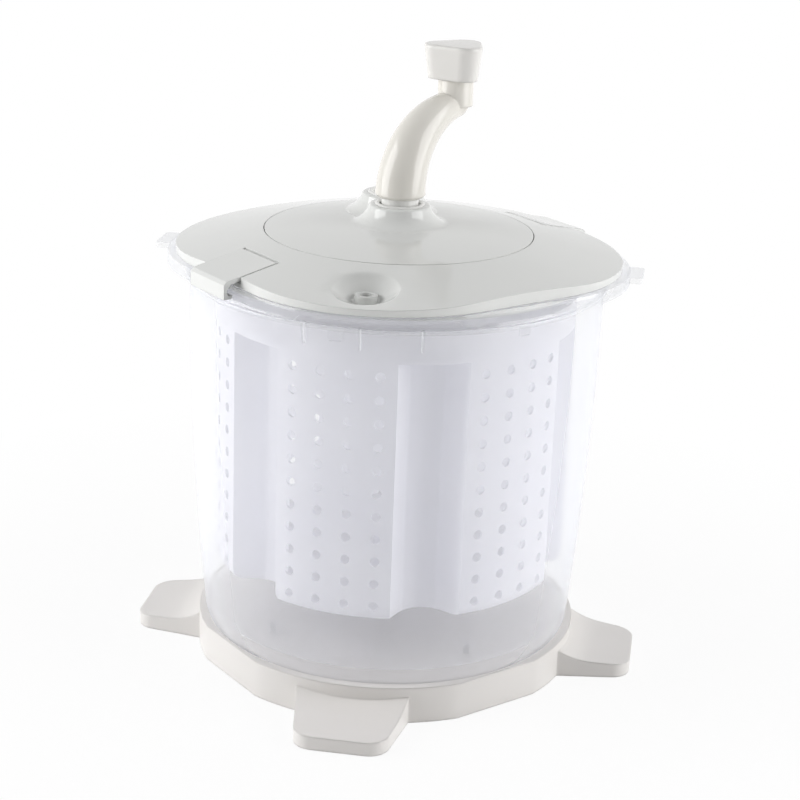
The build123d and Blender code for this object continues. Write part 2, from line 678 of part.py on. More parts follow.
def make_basket():
    hub_low = PIVOT_BOSS_TOP + SEAT_GAP
    bush_r = PIN_R + RUN_GAP + BUSH_WALL
    with BuildPart() as hollow:
        add(extrude(basket_plan(Plane.XY.offset(BASKET_Z + BASKET_WALL), BASKET_WALL),
                    amount=COLLAR_Z - BASKET_Z - 2 * BASKET_WALL))
        add(round_foot(BASKET_WALL), mode=Mode.INTERSECT)
    with BuildPart() as basket:
        add(extrude(basket_plan(Plane.XY.offset(BASKET_Z)), amount=COLLAR_Z - BASKET_Z))
        add(round_foot(0), mode=Mode.INTERSECT)
        add(hollow.part, mode=Mode.SUBTRACT)
        # Open the fluted part into the round collar above it
        with BuildSketch(Plane.XY.offset(COLLAR_Z - BASKET_WALL)):
            Circle(FLUTE_REACH - BASKET_WALL)
        extrude(amount=2 * BASKET_WALL, mode=Mode.SUBTRACT)
        with BuildSketch(Plane.XY.offset(COLLAR_Z - BASKET_WALL)):
            Circle(COLLAR_R)
            Circle(COLLAR_R - BASKET_WALL, mode=Mode.SUBTRACT)
        extrude(amount=BASKET_TOP - COLLAR_Z + BASKET_WALL)
        # Windows for the screens, and notches for the driving lugs
        with PolarLocations(0, PANELS, start_angle=PANEL_AZIMUTH - 90):
            with Locations((COLLAR_R, 0, SCREEN_FROM)):
                Box(2 * (COLLAR_R - FLUTE_REACH), 2 * SCREEN_HALF, SCREEN_TO - SCREEN_FROM,
                    align=(Align.CENTER, Align.CENTER, Align.MIN), mode=Mode.SUBTRACT)
        with PolarLocations(0, NOTCHES, start_angle=PANEL_AZIMUTH - 90):
            with Locations((COLLAR_R, 0, BASKET_TOP - NOTCH_H)):
                Box(4 * BASKET_WALL, NOTCH_W, NOTCH_H,
                    align=(Align.CENTER, Align.CENTER, Align.MIN), mode=Mode.SUBTRACT)
        # Hub for the bush
        with BuildSketch(Plane.XY.offset(hub_low)):
            Circle(bush_r + HUB_WALL)
        extrude(amount=BUSH_H + HUB_WALL)
        with BuildSketch(Plane.XY.offset(hub_low)):
            Circle(bush_r + SLIP_GAP / 2)
        extrude(amount=BUSH_H, mode=Mode.SUBTRACT)
    save(basket.part, "basket")


def make_basket_bush():
    low = PIVOT_BOSS_TOP + SEAT_GAP
    with BuildPart() as bush:
        with BuildSketch(Plane.XY.offset(low)):
            Circle(PIN_R + RUN_GAP + BUSH_WALL)
            Circle(PIN_R + RUN_GAP, mode=Mode.SUBTRACT)
        extrude(amount=BUSH_H)
    save(bush.part, "basket_bush")


def make_basket_screens():
    """Six curved screens, each with its grid of holes, that fill the basket's windows."""
    pieces = []
    for i in range(PANELS):
        azimuth = PANEL_AZIMUTH + i * 360 / PANELS
        face = side_plane(azimuth)
        with BuildPart() as screen:
            with BuildSketch(floor_plane(azimuth, SCREEN_FROM)):
                with Locations((PANEL_REACH - PANEL_CURVE_R, 0)):
                    Circle(PANEL_CURVE_R)
                    Circle(PANEL_CURVE_R - BASKET_WALL, mode=Mode.SUBTRACT)
                with Locations((PANEL_REACH, 0)):
                    Rectangle(PANEL_HALF, 2 * SCREEN_HALF, mode=Mode.INTERSECT)
            extrude(amount=SCREEN_TO - SCREEN_FROM)
            front = Plane(origin=face.x_dir * (FLUTE_REACH + BASKET_WALL), x_dir=-face.z_dir,
                          z_dir=face.x_dir)
            middle = HOLE_TOP_Z - (HOLE_ROWS - 1) * HOLE_PITCH_Z / 2
            with BuildSketch(front):
                with Locations((0, middle)):
                    with GridLocations(HOLE_PITCH_X, HOLE_PITCH_Z, HOLE_COLUMNS, HOLE_ROWS):
                        RegularPolygon(HOLE_R, HOLE_SIDES)
            extrude(amount=PANEL_CURVE_R, mode=Mode.SUBTRACT)
        pieces.append(screen.part)
    save(Compound(children=pieces), "basket_screens")


# Lid: a shallow cone on a rounded square, with a recess for the cover and wells for the latches
def cone_band(top, bottom):
    """Layer that follows the lid's slope between two depths under it."""
    far = LID_CORNER_REACH + LID_FLAT
    return turned([(0, cone_z(0, top)), (far, cone_z(far, top)), (far, cone_z(far, bottom)),
                   (0, cone_z(0, bottom))])


def well_block(azimuth, inner, outer, width, top, bottom):
    """Rectangular patch in plan, between two depths under the lid's slope."""
    with BuildPart() as block:
        with BuildSketch(floor_plane(azimuth, PLUG_Z)):
            with Locations(((inner + outer) / 2, 0)):
                Rectangle(outer - inner, width)
        extrude(amount=cone_z(0) - PLUG_Z)
        add(cone_band(top, bottom), mode=Mode.INTERSECT)
    return block.part


def pin_axis(azimuth):
    """Side plane of a latch with the place of its hinge pin in it."""
    return side_plane(azimuth), (HINGE_AT, cone_z(HINGE_AT, KNUCKLE_R))


def inlet_bowl(wall, top):
    """The inlet's bowl as a solid, grown by the wall, up to the given height over the slope."""
    tilt = radians(CONE_TILT)
    centre = (0, -BOWL_AT, cone_z(BOWL_AT))
    face = Plane(origin=centre, x_dir=(0, -cos(tilt), -sin(tilt)), z_dir=(-1, 0, 0))
    floor = -BOWL_DEPTH - wall
    shoulder = (BOWL_R - BOWL_LIP + wall / 2, -BOWL_LIP_DROP - wall)
    lip = (BOWL_R + wall / 2, -wall)
    half_way = (BOWL_R - BOWL_LIP * BOWL_LIP_MID + wall / 2, -BOWL_LIP_DROP * BOWL_LIP_SAG - wall)
    with BuildPart() as bowl:
        with BuildSketch(face):
            with BuildLine():
                Polyline((0, floor), (BOWL_FLOOR_R + wall / 2, floor), shoulder)
                ThreePointArc(shoulder, half_way, lip)
                Polyline(lip, (lip[0], top), (0, top), (0, floor))
            make_face()
        revolve(axis=Axis(origin=centre, direction=(0, -sin(tilt), cos(tilt))))
    return bowl.part


def make_lid():
    well = DISC_R + DISC_GAP
    wall = well + LID_WALL
    apex = cone_z(0)
    with BuildPart() as hollow:
        add(rounded_square(PLUG_Z, -LID_WALL, apex - PLUG_Z))
        add(under_cone(LID_WALL, PLUG_Z), mode=Mode.INTERSECT)
    with BuildPart() as lid:
        add(rounded_square(RIM_TOP + SLIP_GAP, 0, apex - RIM_TOP))
        add(under_cone(0, RIM_TOP), mode=Mode.INTERSECT)
        add(hollow.part, mode=Mode.SUBTRACT)
        with BuildSketch(Plane.XY.offset(RIM_TOP)):
            Circle(well)
        extrude(amount=apex - RIM_TOP, mode=Mode.SUBTRACT)
        # Recess for the cover, with a shelf at its foot
        add(turned([(SHELF_R, SHELF_Z), (wall, SHELF_Z), (wall, cone_z(wall, LID_WALL / 2)),
                    (well, cone_z(well, LID_WALL / 2)), (well, SHELF_TOP), (SHELF_R, SHELF_TOP)]))
        # Plug ring inside the tub's rim, with a groove for the gasket
        plug = PLUG_R - PLUG_WALL
        groove = PLUG_R - PLUG_GROOVE
        groove_top = PLUG_Z + PLUG_LIP + GASKET_H + SLIP_GAP
        lip = PLUG_R - RIM_OVER / 2
        add(turned([(plug, PLUG_Z), (lip, PLUG_Z), (lip, PLUG_Z + PLUG_LIP), (groove, PLUG_Z + PLUG_LIP),
                    (groove, groove_top), (PLUG_R, groove_top),
                    (PLUG_R, cone_z(PLUG_R, LID_WALL / 2)), (plug, cone_z(plug, LID_WALL / 2))]))
        for azimuth in LATCHES.values():
            add(well_block(azimuth, WELL_INNER - WELL_FLOOR, LID_FLAT - LID_WALL / 2,
                           LATCH_W + 2 * (WELL_SIDE + WELL_WALL), LID_WALL / 2, WELL_DEPTH + WELL_FLOOR))
        # Bowl and nozzle of the water inlet
        add(inlet_bowl(BOWL_WALL, -LID_WALL / 2))
        add(inlet_bowl(0, BOWL_CUT_ABOVE), mode=Mode.SUBTRACT)
        with BuildSketch(Plane.XY.offset(NOZZLE_TAIL)):
            with Locations((0, -NOZZLE_AT)):
                Circle(NOZZLE_R)
        extrude(amount=NOZZLE_TOP - NOZZLE_TAIL)
        with BuildSketch(Plane.XY.offset(NOZZLE_TAIL)):
            with Locations((0, -NOZZLE_AT)):
                Circle(NOZZLE_BORE_R)
        extrude(amount=NOZZLE_TOP - NOZZLE_TAIL, mode=Mode.SUBTRACT)
        for azimuth in LATCHES.values():
            add(well_block(azimuth, WELL_INNER, LATCH_REACH, LATCH_W + 2 * WELL_SIDE, -KNUCKLE_R, WELL_DEPTH),
                mode=Mode.SUBTRACT)
            plane, at = pin_axis(azimuth)
            with BuildSketch(plane):
                with Locations(at):
                    Circle(HINGE_PIN_R + RUN_GAP / 2)
            extrude(amount=LATCH_W / 2 + WELL_SIDE + WELL_WALL / 2, both=True, mode=Mode.SUBTRACT)
        with BuildSketch(Plane.XY.offset(SHELF_Z)):
            with PolarLocations(COVER_SCREW_AT, COVER_SCREWS):
                Circle(COVER_SCREW_R + SLIP_GAP)
        extrude(amount=SHELF_H, mode=Mode.SUBTRACT)
    save(lid.part, "lid")


def make_lid_gasket():
    low = PLUG_Z + PLUG_LIP + SLIP_GAP / 2
    save(ring(PLUG_R - PLUG_GROOVE + SLIP_GAP, RIM_BORE_R - SLIP_GAP, low, low + GASKET_H), "lid_gasket")


# Latches: hinged plates that hook down over the tub's rim
def make_latch(name, azimuth):
    plane, pin = pin_axis(azimuth)
    top_end = cone_z(LATCH_REACH - LATCH_WALL)
    catch = TUB_TOP_R + CATCH_T + SEAT_GAP
    inner = LATCH_REACH - LATCH_WALL
    with BuildPart() as latch:
        with BuildSketch(plane):
            with BuildLine():
                Polyline((HINGE_AT, cone_z(HINGE_AT)), (inner, top_end),
                         (LATCH_REACH, top_end - LATCH_WALL), (LATCH_REACH, LATCH_FOOT_Z),
                         (catch + LATCH_BEAD / 2, LATCH_FOOT_Z), (catch, LATCH_FOOT_Z + LATCH_BEAD),
                         (inner - LATCH_BEAD / 2, LATCH_FOOT_Z + LATCH_BEAD),
                         (inner, LATCH_FOOT_Z + 2 * LATCH_BEAD), (inner, cone_z(inner, 2 * LATCH_T)),
                         (inner - LATCH_T, cone_z(inner - LATCH_T, LATCH_T)),
                         (HINGE_AT, cone_z(HINGE_AT, LATCH_T)), close=True)
            make_face()
            with Locations(pin):
                Circle(KNUCKLE_R)
                Circle(HINGE_PIN_R + RUN_GAP, mode=Mode.SUBTRACT)
        extrude(amount=LATCH_W / 2, both=True)
    save(latch.part, name)


def make_latch_pins():
    with BuildPart() as pins:
        for azimuth in LATCHES.values():
            plane, at = pin_axis(azimuth)
            with BuildSketch(plane):
                with Locations(at):
                    Circle(HINGE_PIN_R)
            extrude(amount=LATCH_W / 2 + WELL_SIDE + WELL_WALL / 2 - SLIP_GAP, both=True)
    save(pins.part, "latch_pins")


# Gears: involute teeth with a straight run below the base circle
def involute(angle):
    return tan(angle) - angle


def gear_face(teeth, turn, centre):
    """Spur gear outline about the given centre, with one tooth pointing at the turn angle."""
    pitch = MODULE * teeth / 2
    base = pitch * cos(radians(PRESSURE))
    root = pitch - DEDENDUM * MODULE
    tip = pitch + ADDENDUM * MODULE
    half = (pi * MODULE / 4 - BACKLASH / 2) / pitch + involute(radians(PRESSURE))
    steps = [(root, half), (max(base, root), half), (pitch, half - involute(acos(base / pitch))),
             (tip, half - involute(acos(base / tip)))]
    if steps[0][0] == steps[1][0]:
        steps[0:2] = [(root, half - involute(acos(base / root)))]
    points = []
    for i in range(teeth):
        middle = radians(turn) + 2 * pi * i / teeth
        points += [(r, middle - a) for r, a in steps]
        points += [(r, middle + a) for r, a in reversed(steps)]
    corners = [(centre[0] + r * cos(a), centre[1] + r * sin(a)) for r, a in points]
    with BuildSketch() as face:
        with BuildLine():
            Polyline(*corners, close=True)
        make_face()
    return face.sketch


def rear_centre():
    a = radians(REAR_AZIMUTH)
    return (REAR_AT * sin(a), -REAR_AT * cos(a))


def make_centre_gear():
    """Gear on the crank axis, with a square socket above and a square drive below."""
    low = PLATE_Z
    hub_top = PLATE_Z + PLATE_HUB_H
    with BuildPart() as gear:
        add(Plane.XY.offset(GEAR_Z).location * gear_face(CENTRE_TEETH, REAR_AZIMUTH - 90, (0, 0)))
        extrude(amount=GEAR_H)
        with BuildSketch(Plane.XY.offset(GEAR_Z + GEAR_H)):
            Circle(SOCKET_R)
        extrude(amount=SOCKET_TOP - GEAR_Z - GEAR_H)
        with BuildSketch(Plane.XY.offset(hub_top + SLIP_GAP)):
            Circle(OUTPUT_R)
        extrude(amount=GEAR_Z - hub_top - SLIP_GAP)
        with BuildSketch(Plane.XY.offset(low)):
            Rectangle(OUTPUT_ACROSS, OUTPUT_ACROSS)
        extrude(amount=hub_top + SLIP_GAP - low)
        with BuildSketch(Plane.XY.offset(SOCKET_TOP - SOCKET_DEPTH)):
            Rectangle(TENON_ACROSS + 2 * SLIP_GAP, TENON_ACROSS + 2 * SLIP_GAP)
        extrude(amount=SOCKET_DEPTH, mode=Mode.SUBTRACT)
        with BuildSketch(Plane.XY.offset(low)):
            Circle(DRIVE_SCREW_R + SLIP_GAP / 2)
        extrude(amount=DRIVE_SCREW_GRIP + SLIP_GAP, mode=Mode.SUBTRACT)
    save(gear.part, "centre_gear")


def make_rear_gear():
    """Large gear under the rear hub, with the same square socket and a bore for its stub."""
    x, y = rear_centre()
    turn = REAR_AZIMUTH - 90 + 180 / REAR_TEETH
    with BuildPart() as gear:
        add(Plane.XY.offset(GEAR_Z).location * gear_face(REAR_TEETH, turn, (x, y)))
        extrude(amount=GEAR_H)
        with Locations((x, y, GEAR_Z + GEAR_H)):
            Cylinder(SOCKET_R, SOCKET_TOP - GEAR_Z - GEAR_H, align=(Align.CENTER, Align.CENTER, Align.MIN))
        with Locations((x, y, SOCKET_TOP)):
            Box(TENON_ACROSS + 2 * SLIP_GAP, TENON_ACROSS + 2 * SLIP_GAP, SOCKET_DEPTH,
                align=(Align.CENTER, Align.CENTER, Align.MAX), mode=Mode.SUBTRACT)
        with Locations((x, y, GEAR_Z)):
            Cylinder(STUB_R + RUN_GAP, GEAR_H, align=(Align.CENTER, Align.CENTER, Align.MIN),
                     mode=Mode.SUBTRACT)
    save(gear.part, "rear_gear")


def make_gear_case():
    """Bowl under the lid's shelf that holds both gears."""
    x, y = rear_centre()
    bore = OUTPUT_R + RUN_GAP + OUTPUT_BUSH_WALL + SLIP_GAP / 2
    outer = CASE_R + CASE_WALL
    flange = DISC_R - COVER_RIM / 2
    under = SHELF_Z - CASE_FLANGE
    with BuildPart() as case:
        add(turned([(bore, CASE_FLOOR_Z), (outer, CASE_FLOOR_Z), (outer, under), (flange, under),
                    (flange, SHELF_Z), (CASE_R, SHELF_Z), (CASE_R, CASE_FLOOR_Z + CASE_FLOOR),
                    (bore, CASE_FLOOR_Z + CASE_FLOOR)]))
        with BuildSketch(Plane.XY.offset(CASE_FLOOR_Z)):
            with Locations((x, y)):
                Circle(STUB_R)
        extrude(amount=CASE_FLOOR + GEAR_H - SEAT_GAP)
        # Stiffening ribs between the bowl and the flange
        for i in range(CASE_RIBS):
            with BuildSketch(side_plane(i * 360 / CASE_RIBS)):
                with BuildLine():
                    Polyline((outer - CASE_WALL / 2, CASE_FLOOR_Z), (outer, CASE_FLOOR_Z), (flange, under),
                             (outer - CASE_WALL / 2, under), close=True)
                make_face()
            extrude(amount=GUSSET_W / 2, both=True)
        with BuildSketch(Plane.XY.offset(under)):
            with PolarLocations(COVER_SCREW_AT, COVER_SCREWS):
                Circle(COVER_SCREW_R + SLIP_GAP)
        extrude(amount=CASE_FLANGE, mode=Mode.SUBTRACT)
    save(case.part, "gear_case")


def make_hub_bush(name, x, y):
    """Flanged bush that lines a hub. Its rounded flange shows as a bright ring."""
    bore = NECK_R + RUN_GAP
    seat = HUB_SEAT + SEAT_GAP
    crown = (BUSH_MOUTH_R + BUSH_FLANGE_R) / 2
    brow = BUSH_TOP - BUSH_CROWN
    with BuildPart() as bush:
        with BuildSketch(Plane(origin=(x, y, 0), x_dir=(1, 0, 0), z_dir=(0, -1, 0))):
            with BuildLine():
                Polyline((BUSH_MOUTH_R, brow), (BUSH_MOUTH_R, HUB_SEAT), (bore, HUB_SEAT - BUSH_CROWN),
                         (bore, BUSH_FOOT), (BUSH_R, BUSH_FOOT), (BUSH_R, seat), (BUSH_FLANGE_R, seat),
                         (BUSH_FLANGE_R, brow))
                ThreePointArc((BUSH_FLANGE_R, brow), (crown, BUSH_TOP), (BUSH_MOUTH_R, brow))
            make_face()
        revolve(axis=Axis(origin=(x, y, 0), direction=(0, 0, 1)))
    save(bush.part, name)


def make_output_bush():
    inner = OUTPUT_R + RUN_GAP
    top = CASE_FLOOR_Z + CASE_FLOOR
    save(ring(inner, inner + OUTPUT_BUSH_WALL, top - OUTPUT_BUSH_H, top), "output_bush")


# Cover: a glossy domed disc with a hub on the crank axis and another behind it
def hub_block(x, y):
    """One hub as a solid: a rounded shoulder on a foot that flares out into the dome."""
    with BuildPart() as hub:
        with BuildSketch(Plane(origin=(x, y, 0), x_dir=(1, 0, 0), z_dir=(0, -1, 0))):
            with BuildLine():
                Polyline((0, HUB_TOP), (0, SHELF_TOP), (HUB_FOOT_R, SHELF_TOP), (HUB_FOOT_R, LID_DISC_Z),
                         (HUB_FOOT_R, dome_z(HUB_FOOT_R)))
                ThreePointArc((HUB_FOOT_R, dome_z(HUB_FOOT_R)), (HUB_MID_R, HUB_MID_Z),
                              (HUB_SHOULDER_R, HUB_SHOULDER_Z))
                ThreePointArc((HUB_SHOULDER_R, HUB_SHOULDER_Z),
                              (HUB_SHOULDER_R - HUB_EDGE_SAG, HUB_TOP - HUB_EDGE_SAG),
                              (HUB_SHOULDER_R - HUB_EDGE, HUB_TOP))
                Line((HUB_SHOULDER_R - HUB_EDGE, HUB_TOP), (0, HUB_TOP))
            make_face()
        revolve(axis=Axis(origin=(x, y, 0), direction=(0, 0, 1)))
    return hub.part


def dome_z(r):
    """Height of the cover's dome at radius r: a shallow arc from the disc's edge to the crank hub."""
    part = (r - HUB_FOOT_R) / (DISC_R - HUB_FOOT_R)
    return COVER_DOME_Z + (LID_DISC_Z - COVER_DOME_Z) * part + 4 * COVER_BULGE * part * (1 - part)


def dome_block(drop, edge):
    """The dome as a solid disc, lowered by the drop and ending at the edge radius."""
    middle = (HUB_FOOT_R + edge) / 2
    with BuildPart() as dome:
        with BuildSketch(Plane.XZ):
            with BuildLine():
                Polyline((HUB_FOOT_R, COVER_DOME_Z - drop), (0, COVER_DOME_Z - drop), (0, SHELF_TOP),
                         (edge, SHELF_TOP), (edge, LID_DISC_Z - drop))
                ThreePointArc((edge, LID_DISC_Z - drop), (middle, dome_z(middle) - drop),
                              (HUB_FOOT_R, COVER_DOME_Z - drop))
            make_face()
        revolve(axis=Axis.Z)
    return dome.part


def make_gear_cover():
    x, y = rear_centre()
    boss_top = dome_z(COVER_SCREW_AT) - COVER_T / 2
    with BuildPart() as cover:
        add(dome_block(0, DISC_R))
        add(hub_block(0, 0))
        add(hub_block(x, y))
        add(dome_block(COVER_T, DISC_R - COVER_T), mode=Mode.SUBTRACT)
        # Hub tubes, their bush bores and the lips that steady the sockets
        for centre in ((0, 0), (x, y)):
            with BuildSketch(Plane.XY.offset(HUB_LIP_Z)):
                with Locations(centre):
                    Circle(BUSH_R + HUB_LIP)
            extrude(amount=COVER_DOME_Z - COVER_T / 2 - HUB_LIP_Z)
            with BuildSketch(Plane.XY.offset(BUSH_FOOT)):
                with Locations(centre):
                    Circle(BUSH_R + SLIP_GAP / 2)
            extrude(amount=HUB_TOP - BUSH_FOOT, mode=Mode.SUBTRACT)
            with BuildSketch(Plane.XY.offset(HUB_SEAT)):
                with Locations(centre):
                    Circle(BUSH_FLANGE_R + SLIP_GAP)
            extrude(amount=HUB_TOP - HUB_SEAT, mode=Mode.SUBTRACT)
            with BuildSketch(Plane.XY.offset(HUB_LIP_Z)):
                with Locations(centre):
                    Circle(SOCKET_R + RUN_GAP)
            extrude(amount=HUB_LIP, mode=Mode.SUBTRACT)
        with BuildSketch(Plane.XY.offset(SHELF_TOP)):
            with PolarLocations(COVER_SCREW_AT, COVER_SCREWS):
                Circle(COVER_BOSS_R)
        extrude(amount=boss_top - SHELF_TOP)
        with BuildSketch(Plane.XY.offset(SHELF_TOP)):
            with PolarLocations(COVER_SCREW_AT, COVER_SCREWS):
                Circle(COVER_SCREW_R)
        extrude(amount=boss_top - SHELF_TOP, mode=Mode.SUBTRACT)
    save(cover.part, "gear_cover")


def make_cover_screws():
    head = SHELF_Z - CASE_FLANGE - COVER_SCREW_HEAD_H
    with BuildPart() as screws:
        with BuildSketch(Plane.XY.offset(head)):
            with PolarLocations(COVER_SCREW_AT, COVER_SCREWS):
                Circle(COVER_SCREW_HEAD_R)
        extrude(amount=COVER_SCREW_HEAD_H)
        with BuildSketch(Plane.XY.offset(head + COVER_SCREW_HEAD_H)):
            with PolarLocations(COVER_SCREW_AT, COVER_SCREWS):
                Circle(COVER_SCREW_R - SLIP_GAP / 2)
        extrude(amount=CASE_FLANGE + COVER_SCREW_GRIP)
    save(screws.part, "cover_screws")


# Crank: a swept arm from the hub to an upright stem, with a knob that turns on its axle
def make_crank_arm():
    face = side_plane(CRANK_AZIMUTH)
    with BuildPart() as arm:
        with BuildSketch(Plane.XY.offset(CRANK_FOOT_Z)):
            Circle(CRANK_FOOT_R - CRANK_RISE)
        with BuildSketch(Plane.XY.offset(CRANK_FOOT_Z + CRANK_RISE)):
            Circle(CRANK_FOOT_R)
        loft()
        # The arm bends from upright at the hub to nearly level at the stem, and thins on its way
        for i in range(CRANK_STATIONS):
            part = i / (CRANK_STATIONS - 1)
            swell = 4 * CRANK_SWELL * part * (1 - part)
            bend = radians(CRANK_BEND * part)
            out = CRANK_BEND_R * (1 - cos(bend))
            up = CRANK_FOOT_Z + CRANK_RISE + CRANK_BEND_R * sin(bend)
            along = face.x_dir * sin(bend) + Vector(0, 0, 1) * cos(bend)
            centre = face.x_dir * out + Vector(0, 0, up)
            with BuildSketch(Plane(origin=centre, x_dir=face.z_dir, z_dir=along)):
                Circle(CRANK_FOOT_R + (CRANK_TIP_R - CRANK_FOOT_R) * part + swell)
        loft()
        with Locations((KNOB_X, KNOB_Y, CRANK_END_Z)):
            Sphere(CRANK_TIP_R)
        with BuildSketch(Plane.XY.offset(STEM_FOOT)):
            with Locations((KNOB_X, KNOB_Y)):
                Circle(STEM_R)
        extrude(amount=STEM_TOP - STEM_FOOT)
        with BuildSketch(Plane.XY.offset(CRANK_FOOT_Z)):
            Rectangle(CRANK_BORE_ACROSS, CRANK_BORE_ACROSS)
        extrude(amount=CRANK_BORE_H, mode=Mode.SUBTRACT)
        with BuildSketch(Plane.XY.offset(STEM_TOP - KNOB_AXLE_DOWN)):
            with Locations((KNOB_X, KNOB_Y)):
                Circle(KNOB_AXLE_R + SLIP_GAP / 2)
        extrude(amount=KNOB_AXLE_DOWN, mode=Mode.SUBTRACT)
    save(arm.part, "crank_arm")


def make_crank_neck():
    """Polished spigot: a square tenon up into the arm, a round neck, and a tenon down into the gear."""
    neck_foot = SOCKET_TOP + SEAT_GAP
    with BuildPart() as neck:
        with BuildSketch(Plane.XY.offset(neck_foot)):
            Circle(NECK_R)
        extrude(amount=CRANK_FOOT_Z - neck_foot)
        with BuildSketch(Plane.XY.offset(CRANK_FOOT_Z)):
            Rectangle(CRANK_BORE_ACROSS - 2 * SLIP_GAP, CRANK_BORE_ACROSS - 2 * SLIP_GAP)
        extrude(amount=CRANK_BORE_H - SEAT_GAP)
        with BuildSketch(Plane.XY.offset(SOCKET_TOP - SOCKET_DEPTH + SEAT_GAP)):
            Rectangle(TENON_ACROSS, TENON_ACROSS)
        extrude(amount=SOCKET_DEPTH)
    save(neck.part, "crank_neck")


def make_knob_axle():
    with BuildPart() as axle:
        with BuildSketch(Plane.XY.offset(STEM_TOP - KNOB_AXLE_DOWN + SEAT_GAP)):
            with Locations((KNOB_X, KNOB_Y)):
                Circle(KNOB_AXLE_R)
        extrude(amount=KNOB_AXLE_DOWN + KNOB_AXLE_UP)
    save(axle.part, "knob_axle")


def make_knob():
    """Three-sided knob with rounded corners, wider at the top."""
    foot = STEM_TOP + SEAT_GAP
    with BuildPart() as knob:
        for z, corner in ((foot, KNOB_FOOT_CORNER), (KNOB_TOP, KNOB_TOP_CORNER)):
            with BuildSketch(Plane.XY.offset(z)) as plan:
                with Locations((KNOB_X, KNOB_Y)):
                    RegularPolygon(3 * corner, 3, rotation=KNOB_TURN)
                fillet(plan.vertices(), corner)
        loft()
        fillet(knob.edges().group_by(Axis.Z)[-1], KNOB_EDGE)
        with BuildSketch(Plane.XY.offset(foot)):
            with Locations((KNOB_X, KNOB_Y)):
                Circle(KNOB_AXLE_R + RUN_GAP)
        extrude(amount=KNOB_AXLE_UP, mode=Mode.SUBTRACT)
    save(knob.part, "knob")


# Drive plate: a disc on the crank axis whose lugs drop into the basket's notches
def make_drive_plate():
    with BuildPart() as plate:
        with BuildSketch(Plane.XY.offset(PLATE_Z)):
            Circle(PLATE_R)
            with PolarLocations(PLATE_HOLE_AT, PLATE_HOLES):
                Circle(PLATE_HOLE_R, mode=Mode.SUBTRACT)
        extrude(amount=PLATE_T)
        with BuildSketch(Plane.XY.offset(PLATE_Z)):
            Circle(PLATE_HUB_R)
        extrude(amount=PLATE_HUB_H)
        with PolarLocations(0, NOTCHES, start_angle=PANEL_AZIMUTH - 90):
            with Locations((COLLAR_R - BASKET_WALL / 2, 0, PLATE_Z)):
                Box(LUG_T, NOTCH_W - 2 * SEAT_GAP, NOTCH_H - SEAT_GAP,
                    align=(Align.CENTER, Align.CENTER, Align.MAX))
        with BuildSketch(Plane.XY.offset(PLATE_Z)):
            Rectangle(OUTPUT_ACROSS + 2 * SLIP_GAP, OUTPUT_ACROSS + 2 * SLIP_GAP)
        extrude(amount=PLATE_HUB_H, mode=Mode.SUBTRACT)
    save(plate.part, "drive_plate")


def make_drive_screw():
    with BuildPart() as screw:
        with BuildSketch(Plane.XY.offset(PLATE_Z - DRIVE_SCREW_HEAD_H)):
            Circle(DRIVE_SCREW_HEAD_R + SLIP_GAP)
        extrude(amount=DRIVE_SCREW_HEAD_H)
        with BuildSketch(Plane.XY.offset(PLATE_Z)):
            Circle(DRIVE_SCREW_R)
        extrude(amount=DRIVE_SCREW_GRIP)
    save(screw.part, "drive_screw")


make_base()
make_foot_pads()
make_base_screws()
make_tub()
make_pivot_pin()
make_basket()
make_basket_bush()
make_basket_screens()
make_lid()
make_lid_gasket()
for latch_name, latch_azimuth in LATCHES.items():
    make_latch(latch_name, latch_azimuth)
make_latch_pins()
make_gear_case()
make_output_bush()
make_hub_bush("crank_bush", 0, 0)
make_hub_bush("rear_bush", *rear_centre())
make_centre_gear()
make_rear_gear()
make_gear_cover()
make_cover_screws()
make_crank_arm()
make_crank_neck()
make_knob_axle()
make_knob()
make_drive_plate()
make_drive_screw()
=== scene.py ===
"""A hand-cranked washing machine, dressed for its portrait.

Metres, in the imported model's frame: +Z is up, the crank axis is the Z axis, the floor is Z = 0 and
the front foot points along -Y. Azimuths are measured from the front (-Y) towards +X. Sizes are
written in millimetres and scaled once, where a mesh is made.
"""

import json
from math import atan2, cos, hypot, pi, radians, sin, sqrt, tan

import bmesh
import bpy
from mathutils import Matrix, Vector


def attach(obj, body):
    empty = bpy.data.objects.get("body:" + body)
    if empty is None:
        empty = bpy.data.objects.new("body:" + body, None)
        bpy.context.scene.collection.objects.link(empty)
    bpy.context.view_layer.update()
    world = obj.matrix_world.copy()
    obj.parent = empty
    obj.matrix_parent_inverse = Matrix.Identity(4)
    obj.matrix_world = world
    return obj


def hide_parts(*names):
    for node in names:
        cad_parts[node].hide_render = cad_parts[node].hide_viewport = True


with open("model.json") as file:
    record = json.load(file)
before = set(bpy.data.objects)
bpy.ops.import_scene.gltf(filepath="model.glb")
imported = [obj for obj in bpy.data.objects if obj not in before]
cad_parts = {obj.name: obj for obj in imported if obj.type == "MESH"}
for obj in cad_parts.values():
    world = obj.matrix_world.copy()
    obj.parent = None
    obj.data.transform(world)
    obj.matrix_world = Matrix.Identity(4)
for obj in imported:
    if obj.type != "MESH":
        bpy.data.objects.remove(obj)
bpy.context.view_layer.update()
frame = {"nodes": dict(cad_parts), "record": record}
scene = bpy.context.scene
MM = 0.001


# Camera: where the photographer stood, in metres and degrees, with sensor and lens in millimetres
CAMERA_AZIMUTH = 8.7
CAMERA_DOWN = 19.03
CAMERA_ROLL = 2.12
CAMERA_DISTANCE = 1.5176
CAMERA_AIM_Z = 0.207
CAMERA_AIM_SIDE = 0.00563
CAMERA_SENSOR = 36.0
CAMERA_LENS = 85.5


def facing(azimuth, up):
    """Unit vector that points away from the machine at an azimuth and an elevation, in degrees."""
    a, e = radians(azimuth), radians(up)
    return Vector((sin(a) * cos(e), -cos(a) * cos(e), sin(e)))


